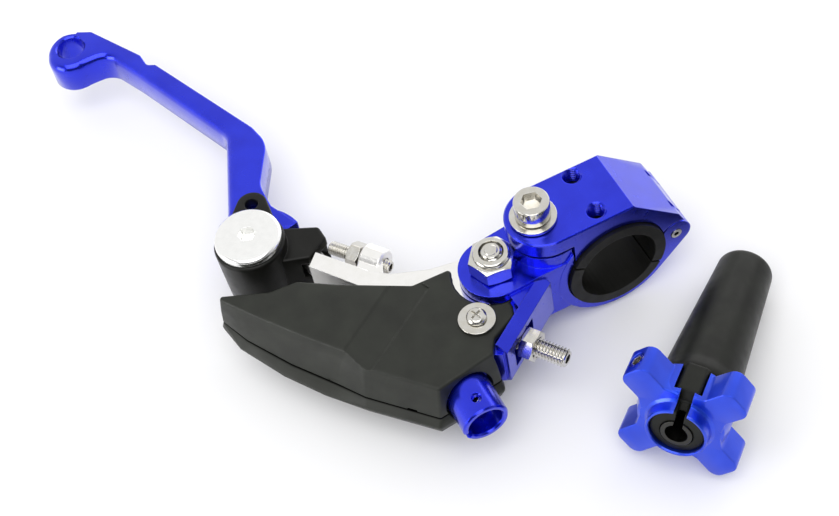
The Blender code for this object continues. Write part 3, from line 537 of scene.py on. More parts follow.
def threaded(name, at, axis, length, outer, pitch, chamfer=0.5, sides=36, depth=0.0):
    """Rod with a helical thread; both ends run out over a chamfer."""
    depth = depth or 0.55 * pitch
    matrix = upright(axis)
    at = Vector(at)
    rows = max(2, round(length / pitch * 8))
    vertices = []
    for row in range(rows + 1):
        height = length * row / rows
        ease = max(0.0, chamfer - min(height, length - height))
        for k in range(sides):
            turn = height / pitch - k / sides
            flank = abs(2 * (turn - floor(turn)) - 1)
            radius = min(outer - depth * min(1.0, 1.2 * flank), outer - ease)
            angle = 2 * pi * k / sides
            vertices.append(at + matrix @ Vector((radius * cos(angle), radius * sin(angle), height)))
    faces = [tuple(range(sides)), tuple(range(rows * sides, (rows + 1) * sides))]
    for row in range(rows):
        for k in range(sides):
            j = (k + 1) % sides
            low = row * sides
            faces.append((low + k, low + j, low + sides + j, low + sides + k))
    return mesh_object(name, vertices, faces)


def hex_nut(name, at, axis, flats, height, bore, roll=0.0):
    """Hexagon nut: both faces turned to a cone, the bore countersunk."""
    nut = along(name, hexagon(flats), at, axis, height, roll)
    face = flats / 2 * 0.95
    corner = flats / sqrt(3.0) + 0.4
    slope = (corner - face) * 0.55
    lens = [(0.0, -0.01), (face, -0.01), (corner, slope), (corner, height - slope), (face, height + 0.01),
            (0.0, height + 0.01)]
    combine(nut, [turned("tool", lens, at, axis, 72)], "INTERSECT")
    sink = 0.5
    hole = [(0.0, -1.0), (bore + sink + 1.0, -1.0), (bore, sink), (bore, height - sink),
            (bore + sink + 1.0, height + 1.0), (0.0, height + 1.0)]
    return cut(nut, turned("tool", hole, at, axis, 48))


def socket(at, axis, flats, depth, roll=0.0):
    """Solid that cuts a hexagon socket with a drilled, pointed bottom."""
    axis = Vector(axis).normalized()
    floor_at = Vector(at) - axis * depth
    tool = along("tool", hexagon(flats, roll), floor_at, axis, depth + 2.0)
    drill = flats / 2 * 0.97
    point = [(0.0, -drill * 0.45), (drill, 0.02), (drill, 0.5), (0.0, 0.5)]
    return fuse(tool, turned("tool", point, floor_at, axis, 40))


def make_fasteners():
    """Bolts, nuts and washers, finer than the frame's and in the same places."""
    # Clamp bolt with its washer.
    low, high = corners("clamp_bolt")
    head = 5.6
    profile = [(0.0, low.z - high.z), (2.6, low.z - high.z), (2.9, low.z - high.z + 0.4), (2.9, -head),
               (4.7, -head), (4.7, 0.0), (0.0, 0.0)]
    top = Vector((CLAMP_BOLT.x, CLAMP_BOLT.y, high.z))
    bolt = turned("clamp_bolt_fine", eased(profile, 0.45), top, UP, 96)
    cut(bolt, socket(top, UP, 5.0, 3.0, 14.0))
    settle_in(bolt, "perch", STEEL, ["clamp_bolt"])
    low, high = corners("clamp_washer")
    ring = [(3.2, 0.0), (6.2, 0.0), (6.2, high.z - low.z), (3.2, high.z - low.z)]
    washer = turned("clamp_washer_fine", eased(ring, 0.25), (CLAMP_BOLT.x, CLAMP_BOLT.y, low.z), UP, 96)
    settle_in(washer, "perch", STEEL, ["clamp_washer"])
    # Pivot bolt, its nut and the nut's crimped collar.
    low, high = corners("pivot_bolt")
    foot = Vector((PIVOT.x, PIVOT.y, low.z))
    span = high.z - low.z
    profile = [(0.0, 0.0), (5.2, 0.0), (5.2, 3.6), (3.0, 3.6), (3.0, span - 2.4), (0.0, span - 2.4)]
    bolt = turned("pivot_bolt_fine", eased(profile, 0.4), foot, UP, 72)
    thread = threaded("tool", foot + UP * (span - 9.0), UP, 8.4, 3.0, 1.0, 0.7, 40)
    fuse(bolt, thread)
    tip = [(0.0, span - 1.2), (2.1, span - 1.2), (1.6, span - 0.25), (0.8, span), (0.0, span)]
    fuse(bolt, turned("tool", tip, foot, UP, 48))
    cut(bolt, socket(foot, -UP, 4.0, 2.2))
    settle_in(bolt, "perch", STEEL, ["pivot_bolt"])
    low, high = corners("pivot_nut")
    nut = hex_nut("pivot_nut_fine", (PIVOT.x, PIVOT.y, low.z), UP, 11.2, high.z - low.z, 3.3, 22.0)
    settle_in(nut, "perch", STEEL, ["pivot_nut"])
    low, high = corners("nut_collar")
    tall = high.z - low.z
    ring = eased([(3.3, 0.0), (5.0, 0.0), (5.0, 0.8), (4.5, tall), (3.3, tall)], 0.3)
    collar = turned("nut_collar_fine", ring, (PIVOT.x, PIVOT.y, low.z), UP, 72)
    settle_in(collar, "perch", STEEL, ["nut_collar"])
    # Rest stop screw: hollow-ended and threaded all along, with its lock nut.
    length = 23.9
    start = middle("stop_screw") - STOP_AXIS * (length / 2)
    screw = threaded("stop_screw_fine", start, STOP_AXIS, length, 2.6, 0.9, 0.5, 40, 0.62)
    cut(screw, socket(start + STOP_AXIS * length, STOP_AXIS, 2.5, 3.0))
    settle_in(screw, "stop", STEEL, ["stop_screw"], 20.0)
    at = middle("stop_nut") - STOP_AXIS * 2.0
    settle_in(hex_nut("stop_nut_fine", at, STOP_AXIS, 8.0, 4.0, 2.7), "perch", STEEL, ["stop_nut"])
    # Reach screw and its lock nut.
    length = 18.6
    start = middle("reach_screw") - REACH_AXIS * (length / 2)
    screw = threaded("reach_screw_fine", start, REACH_AXIS, length, 2.0, 0.7, 0.4, 32, 0.4)
    cut(screw, socket(start + REACH_AXIS * length, REACH_AXIS, 2.0, 2.0))
    settle_in(screw, "reach", STEEL, ["reach_screw"], 20.0)
    at = middle("reach_nut") - REACH_AXIS * 1.8
    nut = hex_nut("reach_nut_fine", at, REACH_AXIS, 7.0, 3.6, 2.2, 30.0)
    settle_in(nut, "lever", STEEL, ["reach_nut"])
    # Cover screws and washers, above and below.
    for name, side in (("upper", 1.0), ("lower", -1.0)):
        axis = UP * side
        washer = "cover_washer_" + name
        face = corners(washer)[0 if side > 0 else 1].z
        at = Vector((COVER_SCREW.x, COVER_SCREW.y, face))
        ring = eased([(1.9, 0.0), (4.9, 0.0), (4.9, 0.7), (1.9, 0.7)], 0.2)
        settle_in(turned(washer + "_fine", ring, at, axis, 72), "perch", STEEL, [washer])
        screw = "cover_screw_" + name
        profile = [(0.0, -8.9), (1.3, -8.9), (1.5, -8.6), (1.5, 0.0), (2.7, 0.0), (2.65, 0.7), (2.1, 1.3),
                   (1.1, 1.5), (0.0, 1.55)]
        obj = turned(screw + "_fine", eased(profile, 0.25), at + axis * 1.0, axis, 64)
        # Cross recess; its two slots differ a little in depth, so that their floors don't coincide.
        slot = [(-1.55, -0.3), (1.55, -0.3), (1.55, 0.3), (-1.55, 0.3)]
        for turn in (20.0, 110.0):
            cut(obj, along("tool", slot, at + axis * (1.35 + turn / 1000), axis, 2.0, turn))
        settle_in(obj, "perch", STEEL, [screw])
    # Wide capped bolt of the folding joint, with its nut below.
    low, high = corners("fold_bolt")
    foot = Vector((KNUCKLE.x, KNUCKLE.y, low.z))
    tall = high.z - low.z
    profile = [(0.0, 0.0), (2.6, 0.0), (3.0, 0.4), (3.0, tall - 3.0), (9.2, tall - 3.0), (9.2, tall - 1.35),
               (8.55, tall - 0.72), (0.0, tall)]
    cap = turned("fold_bolt_fine", eased(profile, 0.4), foot, UP, 128)
    cut(cap, socket(foot + UP * (tall - 0.1), UP, 4.4, 3.2, 12.0))
    settle_in(cap, "knuckle", SILVER, ["fold_bolt"], 25.0)
    low, high = corners("fold_nut")
    nut = hex_nut("fold_nut_fine", (KNUCKLE.x, KNUCKLE.y, low.z), UP, 9.0, high.z - low.z, 3.3)
    settle_in(nut, "knuckle", STEEL, ["fold_nut"])


# ---------------------------------------------------------------- folding blade

EYE = (-140.2, -103.8)
EYE_R = 7.2
EYE_HOLE = (-141.5, -103.1)
EYE_HOLE_R = 4.2
BLADE_HALF = 5.0


def open_run(points):
    """Open run of points; the corners with a radius are rounded."""
    return rounded([(*points[0][:2], 0.0)] + points[1:-1] + [(*points[-1][:2], 0.0)], 5.0)


def thick(points, weight, longest=2.5):
    """Split long straight stretches and give each point its share of the front's rounding."""
    spread = []
    for one, two in zip(points, points[1:]):
        start, end = Vector(one), Vector(two)
        steps = max(1, round((end - start).length / longest))
        for k in range(steps):
            spread.append((start.lerp(end, k / steps), weight))
    spread.append((Vector(points[-1]), weight))
    return spread


def blade_rings():
    """Levels of the blade: sharp along the rear, broadly rounded along the fingers' side."""
    rear = open_run([(-41.9, -68.6), (-52.6, -73.2), (-61.0, -73.2, 9.0), (-74.4, -65.6, 9.0),
                     (-81.8, -67.0, 6.0), (-120.4, -82.9, 0.6), (-121.8, -85.2, 1.4), (-126.6, -85.6, 1.2),
                     (-144.3, -95.4, 1.5), (-146.6, -99.2)])
    front = open_run([(-133.2, -101.4), (-133.0, -94.6, 6.0), (-121.0, -89.2, 30.0), (-84.0, -74.7, 8.0),
                      (-58.0, -84.6), (-50.0, -87.6)])
    cx, cy = KNUCKLE.x, KNUCKLE.y
    run = thick(rear, 0.0)
    for k, point in enumerate(arc(EYE, EYE_R, 147.0, 372.0, 60)):
        run.append((Vector(point), min(1.0, max(0.0, (k - 8) / 20))))
    root = Vector((cx - 9.0, cy - 3.4))
    for point, weight in thick(front, 1.0):
        run.append((point, min(weight, (point - root).length / 9.0)))
    run.append((root, 0.0))
    clean = [run[0]]
    for point, weight in run[1:]:
        if (point - clean[-1][0]).length > 0.12:
            clean.append((point, weight))
    count = len(clean)
    inward = []
    for i in range(count):
        edge = clean[(i + 1) % count][0] - clean[i - 1][0]
        inward.append(Vector((-edge.y, edge.x)).normalized())
    rings = []
    levels = [("low", 0.0), ("low", 0.5), ("low", 1.0)] + [("high", k / 7) for k in range(8)]
    for side, t in levels:
        ring = []
        for (point, weight), normal in zip(clean, inward):
            if side == "low":
                inset = 0.45 * (1 - sin(t * pi / 2))
                z = -BLADE_HALF + 0.45 * (1 - cos(t * pi / 2))
            else:
                across = 0.4 + 2.0 * weight
                down = 0.4 + 2.4 * weight
                inset = across * (1 - cos(t * pi / 2))
                z = BLADE_HALF - down * (1 - sin(t * pi / 2))
            place = point + normal * inset
            ring.append((place.x, place.y, z))
        rings.append(ring)
    return rings


def sector(centre, radius, start, end, low, high):
    steps = max(2, round(abs(end - start) / 5.0))
    return prism("tool", [tuple(centre[:2])] + arc(centre, radius, start, end, steps), low, high)


def make_blade():
    cx, cy = KNUCKLE.x, KNUCKLE.y
    blade = loft("lever_blade_fine", blade_rings())
    tail = [(cx, cy + 2.0)] + arc(KNUCKLE, 14.8, 101.0, 150.0, 16)
    fuse(blade, prism("tool", tail, 0.1 - BLADE_HALF, BLADE_HALF - 0.1))
    cut(blade, sector(KNUCKLE, 40.0, 20.0, 100.5, -10.0, 10.0))
    fuse(blade, rod((cx, cy, 0.05 - BLADE_HALF), (cx, cy, BLADE_HALF - 0.05), 7.8, 72))
    cut(blade, rod((cx, cy, -20.0), (cx, cy, 20.0), 4.6, 48))
    cut(blade, rod((cx, cy, 0.5), (cx, cy, 12.0), 6.7, 48))
    rim = 0.45
    hole = [(0.0, -8.0), (EYE_HOLE_R + 3.0 + rim, -8.0), (EYE_HOLE_R, -BLADE_HALF + rim),
            (EYE_HOLE_R, BLADE_HALF - rim), (EYE_HOLE_R + 3.0 + rim, 8.0), (0.0, 8.0)]
    cut(blade, turned("tool", hole, (*EYE_HOLE, 0.0), UP, 72))
    settle_in(blade, "blade", BLUE, ["lever_blade"], 28.0)


# ---------------------------------------------------------------- dust cover

COVER_TOP = 8.5
COVER_BOTTOM = -8.6
COVER_WALL = 1.7
NOTCH_TURN = 38.0
WALL_NORMAL = Vector((0.82, 0.57)).normalized()
WALL_POINT = Vector((19.7, -32.6))


def wall_point(offset, side):
    """Point off the perch's outer wall: outwards by offset, along it by side."""
    return tuple(WALL_POINT + WALL_NORMAL * offset + Vector((-WALL_NORMAL.y, WALL_NORMAL.x)) * side)


def shrink(shape, distance):
    """Corners of an outline moved inwards."""
    moved = []
    count = len(shape)
    for i, corner in enumerate(shape):
        here = Vector(corner[:2])
        before = (here - Vector(shape[i - 1][:2])).normalized()
        after = (Vector(shape[(i + 1) % count][:2]) - here).normalized()
        normal = Vector((-before.y - after.y, before.x + after.x)).normalized()
        reach = distance / max(0.3, normal.dot(Vector((-before.y, before.x))))
        radius = corner[2] if len(corner) > 2 else 0.0
        if radius:
            radius = max(0.1, radius - distance if before.cross(after) > 0.0 else radius + distance)
        place = here + normal * reach
        moved.append((place.x, place.y, radius))
    return moved


def cover_corners(inset=0.0, full=0.0):
    """Top view of the cover; full runs from 0, the stepped top edge, to 1, the round belly."""
    rear = [(13.2, -31.9, 0.8), (11.4, -31.9, 0.0), (11.4, -48.2, 10.6), (-5.4, -40.4, 1.0),
            (-5.8, -51.6, 2.0), (-16.2, -68.2, 6.0), (-22.8, -77.4, 3.0), (-23.5, -85.2, 4.0)]
    stepped = [(-29.9, -99.2, 0.9), (-18.5, -91.8), (-6.7, -83.6), (4.6, -75.1, 5.0), (11.0, -73.4, 3.0),
               (26.6, -59.6, 1.0), (24.0, -43.1, 1.2)]
    belly = [(-30.1, -99.8, 0.9), (-20.0, -98.0), (-6.0, -91.0), (5.0, -83.8, 5.0), (14.0, -76.4, 3.0),
             (29.4, -62.2, 1.0), (27.4, -42.4, 1.2)]
    front = []
    for one, two in zip(stepped, belly):
        front.append((one[0] + (two[0] - one[0]) * full, one[1] + (two[1] - one[1]) * full, *one[2:]))
    return shrink(rear + front + [(19.8, -40.4, 1.5), (16.2, -32.9, 2.0)], inset)


def cover_ring(z, inset=0.0, full=0.0):
    return level(fixed_round(cover_corners(inset, full), 9), z)


def hollow_cover(cover, low, high, full):
    """Open the cover's inside, its rear, the pivot side and the adjuster's arch."""
    cut(cover, prism("tool", rounded(cover_corners(COVER_WALL, full), 20.0), low, high))
    rear = [(16.0, -20.0), (-60.0, -20.0), (-60.0, -84.0), (-25.2, -84.0), (-22.4, -80.0), (-12.2, -66.4),
            (-2.6, -51.0), (-2.6, -44.2), (16.0, -44.4)]
    cut(cover, prism("tool", rear, low - 0.05, high + 0.05))
    wall = [wall_point(2.0, -11.0), wall_point(2.0, 20.0), wall_point(-6.0, 20.0), wall_point(-6.0, -11.0)]
    cut(cover, prism("tool", wall, low - 0.1, high + 0.1))
    cut(cover, rod((12.0, CABLE_Y, 0.0), (40.0, CABLE_Y, 0.0), 7.0, 64))
    cut(cover, rod((COVER_SCREW.x, COVER_SCREW.y, -20.0), (COVER_SCREW.x, COVER_SCREW.y, 20.0), 1.8, 32))


def make_covers():
    """Both halves, with a broken seam edge, a shallow band across the top and two seam notches."""
    edge = 0.9
    rings = [cover_ring(COVER_SEAM + 0.15, 1.2, 0.6), cover_ring(COVER_SEAM + 0.24, 1.1, 0.6),
             cover_ring(COVER_SEAM + 0.26, 0.2, 0.6), cover_ring(COVER_SEAM + 0.5, 0.0, 0.59),
             cover_ring(3.0, 0.0, 0.36), cover_ring(5.4, 0.0, 0.17)]
    for k in range(5):
        angle = k / 4 * pi / 2
        rings.append(cover_ring(COVER_TOP - edge + edge * sin(angle), edge * (1 - cos(angle))))
    upper = loft("cover_upper_fine", rings)
    hollow_cover(upper, -6.0, COVER_TOP - COVER_WALL, 0.0)
    rings = []
    for z, widen in ((COVER_TOP - 0.45, 0.0), (COVER_TOP + 0.45, 2.0)):
        band = [(-11.0 - widen, -52.7), (-3.4 + widen, -48.0), (13.6 + widen, -74.0), (5.6 - widen, -77.7)]
        rings.append(level(band, z))
    cut(upper, loft("tool", rings))
    for x, y in ((3.6, -79.4), (22.3, -66.2)):
        wedge = [(-1.6, -1.2), (1.6, -1.2), (1.1, 1.4), (-1.1, 1.4)]
        notch = prism("tool", wedge, COVER_SEAM - 1.0, COVER_SEAM + 0.95)
        turn = Matrix.Rotation(radians(NOTCH_TURN), 4, "Z")
        notch.data.transform(Matrix.Translation((x, y, 0.0)) @ turn)
        cut(upper, notch)
    settle_in(upper, "perch", COVER, ["cover_upper"], 24.0)
    rings = []
    for k in range(5):
        angle = (1 - k / 4) * pi / 2
        z = COVER_BOTTOM + 1.2 * (1 - sin(angle))
        rings.append(cover_ring(z, 1.0 + 0.8 * (1 - cos(angle)), 0.92 + 0.03 * k / 4))
    rings += [cover_ring(-6.0, 0.45, 0.98), cover_ring(-5.0, 0.12, 1.0), cover_ring(-4.2, 0.0, 0.96),
              cover_ring(COVER_SEAM - 0.5, 0.0, 0.66), cover_ring(COVER_SEAM - 0.2, 0.3, 0.62),
              cover_ring(COVER_SEAM - 0.15, 1.2, 0.6)]
    lower = loft("cover_lower_fine", rings)
    hollow_cover(lower, COVER_BOTTOM + COVER_WALL, 6.0, 0.3)
    settle_in(lower, "perch", COVER, ["cover_lower"], 24.0)


# ---------------------------------------------------------------- clamp cap, adjuster barrel and knuckle

MIRROR_HOLES = ((-7.3, -2.7), (5.9, -2.8))
HINGE = Vector((0.0, 18.0, 0.2))


def make_cap():
    """Clamp cap with broken edges, threaded mirror holes and two small reliefs at the rear."""
    low, high = corners("clamp_cap")
    side = [(-30.0, CAP_TOP), (-30.0, CAP_TOP - 4.8), (-11.6, CAP_TOP - 4.8), (-11.6, 1.1), (22.1, 1.1),
            (18.9, 8.0), (5.9, CAP_TOP)]
    half = (high.x - low.x) / 2
    centre_x = (high.x + low.x) / 2
    cap = loft("clamp_cap_fine", [[(x, y, z) for y, z in side] for x in (low.x, high.x)])
    rings = []
    plan_y = CLAMP_BOLT.y + 2.4
    for z, inset in ((-20.0, 0.0), (CAP_TOP - 0.4, 0.0), (CAP_TOP + 0.05, 0.45)):
        reach = half - inset
        plan = arc((centre_x, plan_y), reach, 180.0, 360.0, 48)
        plan += [(centre_x + reach, 40.0), (centre_x - reach, 40.0)]
        rings.append(level(plan, z))
    combine(cap, [loft("tool", rings)], "INTERSECT")
    fuse(cap, rod((-5.0, HINGE.y, HINGE.z), (5.0, HINGE.y, HINGE.z), 4.3, 64))
    for one, two in ((low.x - 1.0, -5.1), (5.1, high.x + 1.0)):
        cut(cap, rod((one, HINGE.y, HINGE.z), (two, HINGE.y, HINGE.z), 4.9, 64))
    cut(cap, rod((-20.0, HINGE.y, HINGE.z), (20.0, HINGE.y, HINGE.z), 1.7, 32))
    cut(cap, rod((CLAMP_BOLT.x, CLAMP_BOLT.y, 0.0), (CLAMP_BOLT.x, CLAMP_BOLT.y, 30.0), 3.3, 48))
    countersink = [(0.0, -0.45), (2.3, -0.45), (3.2, 0.45), (0.0, 0.45)]
    for x, y in MIRROR_HOLES:
        cut(cap, threaded("tool", (x, y, 13.0), UP, 8.0, 2.5, 0.8, 0.0, 32, 0.35))
        cut(cap, turned("tool", countersink, (x, y, CAP_TOP), UP, 48))
    cut(cap, rod((-20.0, 0.0, 0.0), (20.0, 0.0, 0.0), 14.5, 128))
    for x in (-6.0, 6.0):
        relief = [(x - 1.1, 18.3), (x + 1.1, 18.3), (x + 1.1, 24.0), (x - 1.1, 24.0)]
        cut(cap, prism("tool", relief, 5.2, 12.0))
    settle_in(cap, "perch", BLUE, ["clamp_cap"], 28.0)


def cable_roll():
    """Turn that points the cable slot forwards and a little down."""
    aim = upright((1.0, 0.0, 0.0)).inverted() @ Vector((0.0, -cos(radians(19.0)), -sin(radians(19.0))))
    return degrees(atan2(aim.y, aim.x)) - 90.0


def make_barrel():
    """Slotted adjuster barrel with turned edges and its click hole."""
    click_x = 31.9
    low, high = corners("adjuster_barrel")
    end = high.x
    front = end - 11.6
    profile = [(1.5, low.x), (3.9, low.x), (3.9, front), (5.7, front), (6.3, front + 0.6), (6.3, end - 0.5),
               (5.9, end), (5.1, end), (4.7, end - 0.5), (4.7, front + 1.2), (1.5, front + 1.2)]
    barrel = turned("adjuster_barrel_fine", profile, (0.0, CABLE_Y, 0.0), (1.0, 0.0, 0.0), 128)
    cut(barrel, rod((click_x, CABLE_Y, 2.0), (click_x, CABLE_Y, 9.0), 1.1, 32))
    countersink = [(0.0, -0.4), (1.05, -0.4), (1.7, 0.5), (0.0, 0.5)]
    cut(barrel, turned("tool", countersink, (click_x, CABLE_Y, 6.1), UP, 32))
    slot = [(-1.2, 0.0), (1.2, 0.0), (1.2, 9.0), (-1.2, 9.0)]
    cut(barrel, along("tool", slot, (10.0, CABLE_Y, 0.0), (1.0, 0.0, 0.0), 30.0, cable_roll()))
    settle_in(barrel, "barrel", BLUE, ["adjuster_barrel"], 28.0)


def hull_of_circles(first, r1, second, r2, step=5.0):
    """Outline round two circles and their outer tangents."""
    span = Vector(second) - Vector(first)
    heading = degrees(atan2(span.y, span.x))
    lean = degrees(acos((r1 - r2) / span.length))
    n1 = max(2, round((360.0 - 2 * lean) / step))
    n2 = max(2, round(2 * lean / step))
    return (arc(first, r1, heading + lean, heading + 360.0 - lean, n1)
            + arc(second, r2, heading - lean, heading + lean, n2))


def make_knuckle():
    """Black housing: barrel, ears over the blade and the flared fork for the lever base."""
    cx, cy = KNUCKLE.x, KNUCKLE.y
    at = (cx, cy, 0.0)
    profile = [(0.0, -9.0), (8.9, -9.0), (9.3, -8.4), (9.8, 9.3), (9.35, 10.0), (0.0, 10.0)]
    body = turned("knuckle_fine", eased(profile, 0.4), at, UP, 128)
    eye = (-52.9, -78.2)
    rings = []
    for z, inset in ((-8.6, 0.5), (-8.1, 0.0), (8.1, 0.0), (8.45, 0.15), (8.6, 0.5)):
        rings.append(level(hull_of_circles((cx, cy), 8.6 - inset, eye, 4.3 - inset), z))
    fuse(body, loft("tool", rings))
    arm = [(-45.0, -79.5, 0.0), (-43.6, -74.6, 4.0), (-38.4, -64.8, 1.3), (-33.7, -64.5, 1.2),
           (-30.0, -71.0, 1.0), (-32.6, -78.4, 3.0), (-34.4, -81.6, 0.0)]
    rings = []
    for z, inset in ((-7.0, 0.5), (-6.5, 0.0), (5.1, 0.0), (5.6, 0.2), (5.8, 0.6)):
        rings.append(level(fixed_round(shrink(arm, -inset), 6), z))
    fuse(body, loft("tool", rings))
    cut(body, rod((cx, cy, -5.4), (cx, cy, 5.4), 8.2, 96))
    cut(body, sector(KNUCKLE, 30.0, 99.0, 264.0, -5.4, 5.4))
    fork = [(-36.9, -61.6), (-34.9, -66.4)] + arc(REACH_PIN, 3.2, 115.0, 270.0, 24)
    fork += [(-22.0, -73.6), (-22.0, -58.0)]
    cut(body, prism("tool", fork, -3.0, 3.0))
    cut(body, rod((REACH_PIN.x, REACH_PIN.y, -12.0), (REACH_PIN.x, REACH_PIN.y, 5.5), 1.6, 32))
    cut(body, rod((cx, cy, -20.0), (cx, cy, 20.0), 3.2, 48))
    cut(body, rod((cx, cy, 8.8), (cx, cy, 20.0), 8.4, 96))
    cut(body, rod((*eye, -20.0), (*eye, 20.0), 1.9, 48))
    settle_in(body, "knuckle", HOUSING, ["knuckle"], 26.0)


# ---------------------------------------------------------------- loose wheel and boot

WHEEL_AT = (63.2, -13.8, 1.9)
WHEEL_AZIMUTH = -47.7
WHEEL_TILT = 11.0
HUB_BORE = 7.0
ARM_ANGLES = (133.0, 223.0, 313.0, 41.0)
ARM_TIP = 18.9
SLOT_ANGLE = 84.0
SCREW_Z = -8.0


def wheel_frame():
    """Matrix from the unit's own frame: Z runs along its axis, out of the hub."""
    azimuth = radians(WHEEL_AZIMUTH)
    tilt = radians(WHEEL_TILT)
    w = Vector((cos(azimuth) * cos(tilt), sin(azimuth) * cos(tilt), sin(tilt)))
    e1 = UP.cross(w).normalized()
    matrix = Matrix((e1, w.cross(e1), w)).transposed().to_4x4()
    return Matrix.Translation(Vector(WHEEL_AT)) @ matrix


def ray_outline(angle, near, far, half, radius=0.0, root=0.0):
    """Bar pointing out from the axis; its far corners are rounded and its root may flare."""
    out = Vector((cos(radians(angle)), sin(radians(angle))))
    side = Vector((-out.y, out.x))
    flare = max(0.0, root - half)
    shape = [(near, -half - flare, 0.0), (far, -half, radius), (far, half, radius), (near, half + flare, 0.0)]
    if flare:
        knee = near + 1.2 * flare + 0.4
        shape.insert(1, (knee, -half, 3.0))
        shape.insert(4, (knee, half, 3.0))
    placed = [(*(out * reach + side * across), r) for reach, across, r in shape]
    return fixed_round(placed, 5)


def radial(angle, reach, height):
    return Vector((reach * cos(radians(angle)), reach * sin(radians(angle)), height))


def make_wheel_unit():
    """Four-armed wheel with its set screw, the slotted ring and the soft boot."""
    place = wheel_frame()
    profile = [(HUB_BORE, -13.0), (11.3, -13.0), (11.8, -12.5), (11.8, -6.5), (11.0, -4.2), (10.2, -3.65),
               (8.9, -3.5), (8.2, -3.0), (8.0, -2.4), (7.9, -0.35), (7.65, 0.0), (7.25, 0.0),
               (HUB_BORE, -0.35)]
    wheel = turned("star_wheel_fine", profile, (0.0, 0.0, 0.0), UP, 128)
    for angle in ARM_ANGLES:
        rings = []
        for z, inset in ((-12.2, 0.4), (-11.8, 0.0), (-4.0, 0.0), (-3.7, 0.1), (-3.58, 0.35)):
            outline = ray_outline(angle, 8.2, ARM_TIP - inset, 4.3 - inset, 2.6 - inset, 6.4 - inset)
            rings.append(level(outline, z))
        fuse(wheel, loft("tool", rings))
    cut(wheel, prism("tool", ray_outline(SLOT_ANGLE, 0.0, 20.0, 1.7), -20.0, 5.0))
    cut(wheel, prism("tool", ray_outline(SLOT_ANGLE, 0.1, 20.1, 3.5), -20.0, -5.0))
    turn = ARM_ANGLES[0]
    cut(wheel, rod(radial(turn, 3.0, SCREW_Z), radial(turn, 22.0, SCREW_Z), 2.3, 40))
    axis = radial(turn, 1.0, 0.0)
    start = radial(turn, 12.2, SCREW_Z)
    screw = threaded("wheel_set_screw_fine", start, axis, 6.4, 2.15, 0.7, 0.2, 32, 0.25)
    cut(screw, socket(radial(turn, 18.6, SCREW_Z), axis, 2.6, 2.2))
    # Boot: cone with a collar that fills the hub, a key in its slot and soft folds at the wheel.
    cone = [(0.0, -13.3), (10.0, -13.3), (10.35, -13.8), (10.4, -15.4), (9.9, -18.4), (9.75, -22.0),
            (9.0, -34.0), (7.55, -57.6), (7.4, -60.2), (6.9, -61.2), (5.9, -61.6), (0.0, -61.6)]
    boot = turned("rubber_boot_fine", eased(cone, 0.7), (0.8, 0.0, 0.0), UP, 128)
    fuse(boot, rod((0.0, 0.0, -16.0), (0.0, 0.0, -1.2), 6.8, 96))
    low_by = radial(SLOT_ANGLE + 180.0, 0.9, 0.0)
    bore = [(0.0, 2.0), (4.3, 2.0), (4.3, -24.5), (4.0, -42.0), (4.0, -70.0), (0.0, -70.0)]
    cut(boot, turned("tool", bore, low_by, UP, 64))
    key = []
    for reach, across in ((6.0, -3.0), (10.5, -3.0), (11.0, -2.2), (11.0, 2.2), (10.5, 3.0), (6.0, 3.0)):
        corner = radial(SLOT_ANGLE, reach, 0.0) + radial(SLOT_ANGLE + 90.0, across, 0.0)
        key.append(tuple(corner.xy))
    fuse(boot, prism("tool", key, -14.0, -5.4))
    cut(boot, prism("tool", ray_outline(SLOT_ANGLE, 0.0, 12.0, 1.1), -5.0, 2.0))
    section = [(2.9, -24.0), (4.1, -24.0), (4.1, -0.9), (2.9, -0.9)]
    ring = turned("boot_sleeve_fine", eased(section, 0.2), low_by, UP, 96)
    cut(ring, prism("tool", ray_outline(SLOT_ANGLE, 0.0, 8.0, 1.2), -30.0, 3.0))
    for piece, slot, look, node in ((wheel, "blue_anodised", SATIN_BLUE_PAINTED_LIGHTER, "star_wheel"),
                                    (screw, "steel", STEEL, "wheel_set_screw"),
                                    (boot, "boot_rubber", RUBBER, "rubber_boot"),
                                    (ring, "steel", SLEEVE, "boot_sleeve")):
        piece.data.transform(place)
        settle_in(piece, "wheel_unit", look, [node], 26.0)


# ---------------------------------------------------------------- stage

CAMERA_AT = (0.2450, -0.1161, 0.3664)
CAMERA_AZIMUTH = 74.8
CAMERA_ELEVATION = 53.3
CAMERA_ROLL = -12.9
CAMERA_LENS = 72.94
DARK_SIDE = (0.9, -0.35, 0.35)


def make_camera():
    azimuth = radians(CAMERA_AZIMUTH)
    elevation = radians(CAMERA_ELEVATION)
    roll = radians(CAMERA_ROLL)
    back = Vector((sin(azimuth) * cos(elevation), -cos(azimuth) * cos(elevation), sin(elevation)))
    right = Vector((cos(azimuth), sin(azimuth), 0.0))
    above = back.cross(right)
    side = cos(roll) * right + sin(roll) * above
    top = cos(roll) * above - sin(roll) * right
    data = bpy.data.cameras.new("camera")
    data.lens = CAMERA_LENS
    data.sensor_width = 36.0
    data.clip_start = 0.01
    camera = bpy.data.objects.new("camera", data)
    bpy.context.collection.objects.link(camera)
    matrix = Matrix((side, top, back)).transposed().to_4x4()
    matrix.translation = Vector(CAMERA_AT)
    camera.matrix_world = matrix
    bpy.context.scene.camera = camera


def soft_box(name, towards, distance, size, power, centre):
    """Square area light that looks at the object from a direction."""
    data = bpy.data.lights.new(name, "AREA")
    data.shape = "SQUARE"
    data.size = size
    data.energy = power
    light = bpy.data.objects.new(name, data)
    bpy.context.collection.objects.link(light)
    direction = Vector(towards).normalized()
    light.location = centre + direction * distance
    light.rotation_euler = direction.to_track_quat("Z", "Y").to_euler()


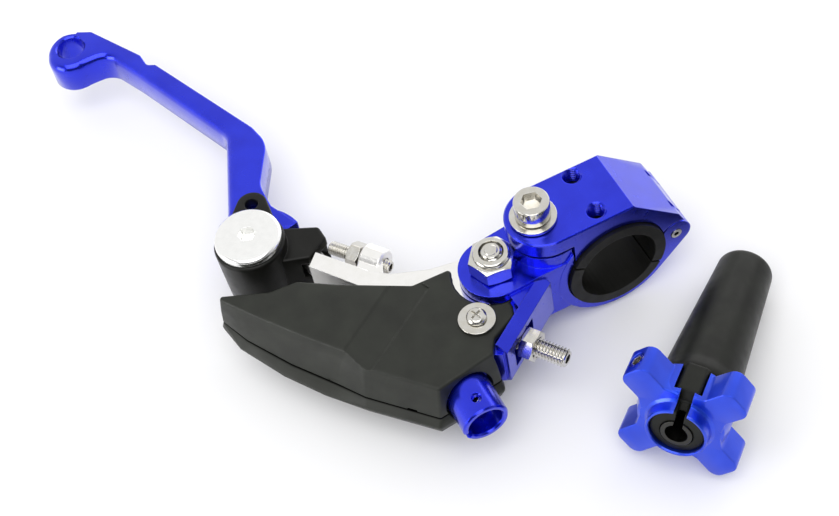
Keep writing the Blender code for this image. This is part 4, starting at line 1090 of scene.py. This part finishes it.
def make_stage():
    low, high = Vector(CAD_BOX[0]), Vector(CAD_BOX[1])
    centre = (low + high) / 2
    floor_z = low.z - 0.0004
    mesh = bpy.data.meshes.new("floor")
    reach = 3.0
    square = [(-reach, -reach), (reach, -reach), (reach, reach), (-reach, reach)]
    mesh.from_pydata(level(square, floor_z), [], [(0, 1, 2, 3)])
    ground = bpy.data.objects.new("floor", mesh)
    bpy.context.collection.objects.link(ground)
    s = Surface("floor", 0.0, specular=0.2)
    s.paint(s.blend(s.noise(60.0, 2.0), (0.86, 0.86, 0.865), (0.88, 0.88, 0.885)))
    s.gloss(s.span(s.noise(20.0, 2.0), 0.3, 0.7, 0.75, 0.85))
    mesh.materials.append(s.done())
    world = bpy.data.worlds.new("studio")
    world.use_nodes = True
    tree = world.node_tree
    background = tree.nodes["Background"]
    background.inputs["Strength"].default_value = 1.0
    way = tree.nodes.new("ShaderNodeTexCoord")
    dot = tree.nodes.new("ShaderNodeVectorMath")
    dot.operation = "DOT_PRODUCT"
    dot.inputs[1].default_value = Vector(DARK_SIDE).normalized()
    tree.links.new(way.outputs["Generated"], dot.inputs[0])
    ramp = tree.nodes.new("ShaderNodeValToRGB")
    ramp.color_ramp.elements[0].position = 0.15
    ramp.color_ramp.elements[0].color = (0.98, 0.98, 0.98, 1.0)
    ramp.color_ramp.elements[1].position = 0.75
    ramp.color_ramp.elements[1].color = (0.10, 0.10, 0.11, 1.0)
    tree.links.new(dot.outputs["Value"], ramp.inputs["Fac"])
    tree.links.new(ramp.outputs["Color"], background.inputs["Color"])
    bpy.context.scene.world = world
    bpy.context.scene.view_settings.view_transform = "Standard"
    soft_box("overhead", (0.50, -0.25, 1.0), 2.4, 2.4, 46.0, centre)
    soft_box("left_panel", (-0.60, 0.80, 0.12), 1.0, 0.9, 3.6, centre)
    soft_box("front_panel", (0.10, -1.0, 0.16), 0.9, 0.5, 4.0, centre)


dress_frame()
make_fasteners()
make_blade()
make_covers()
make_cap()
make_barrel()
make_knuckle()
make_wheel_unit()
make_camera()
make_stage()
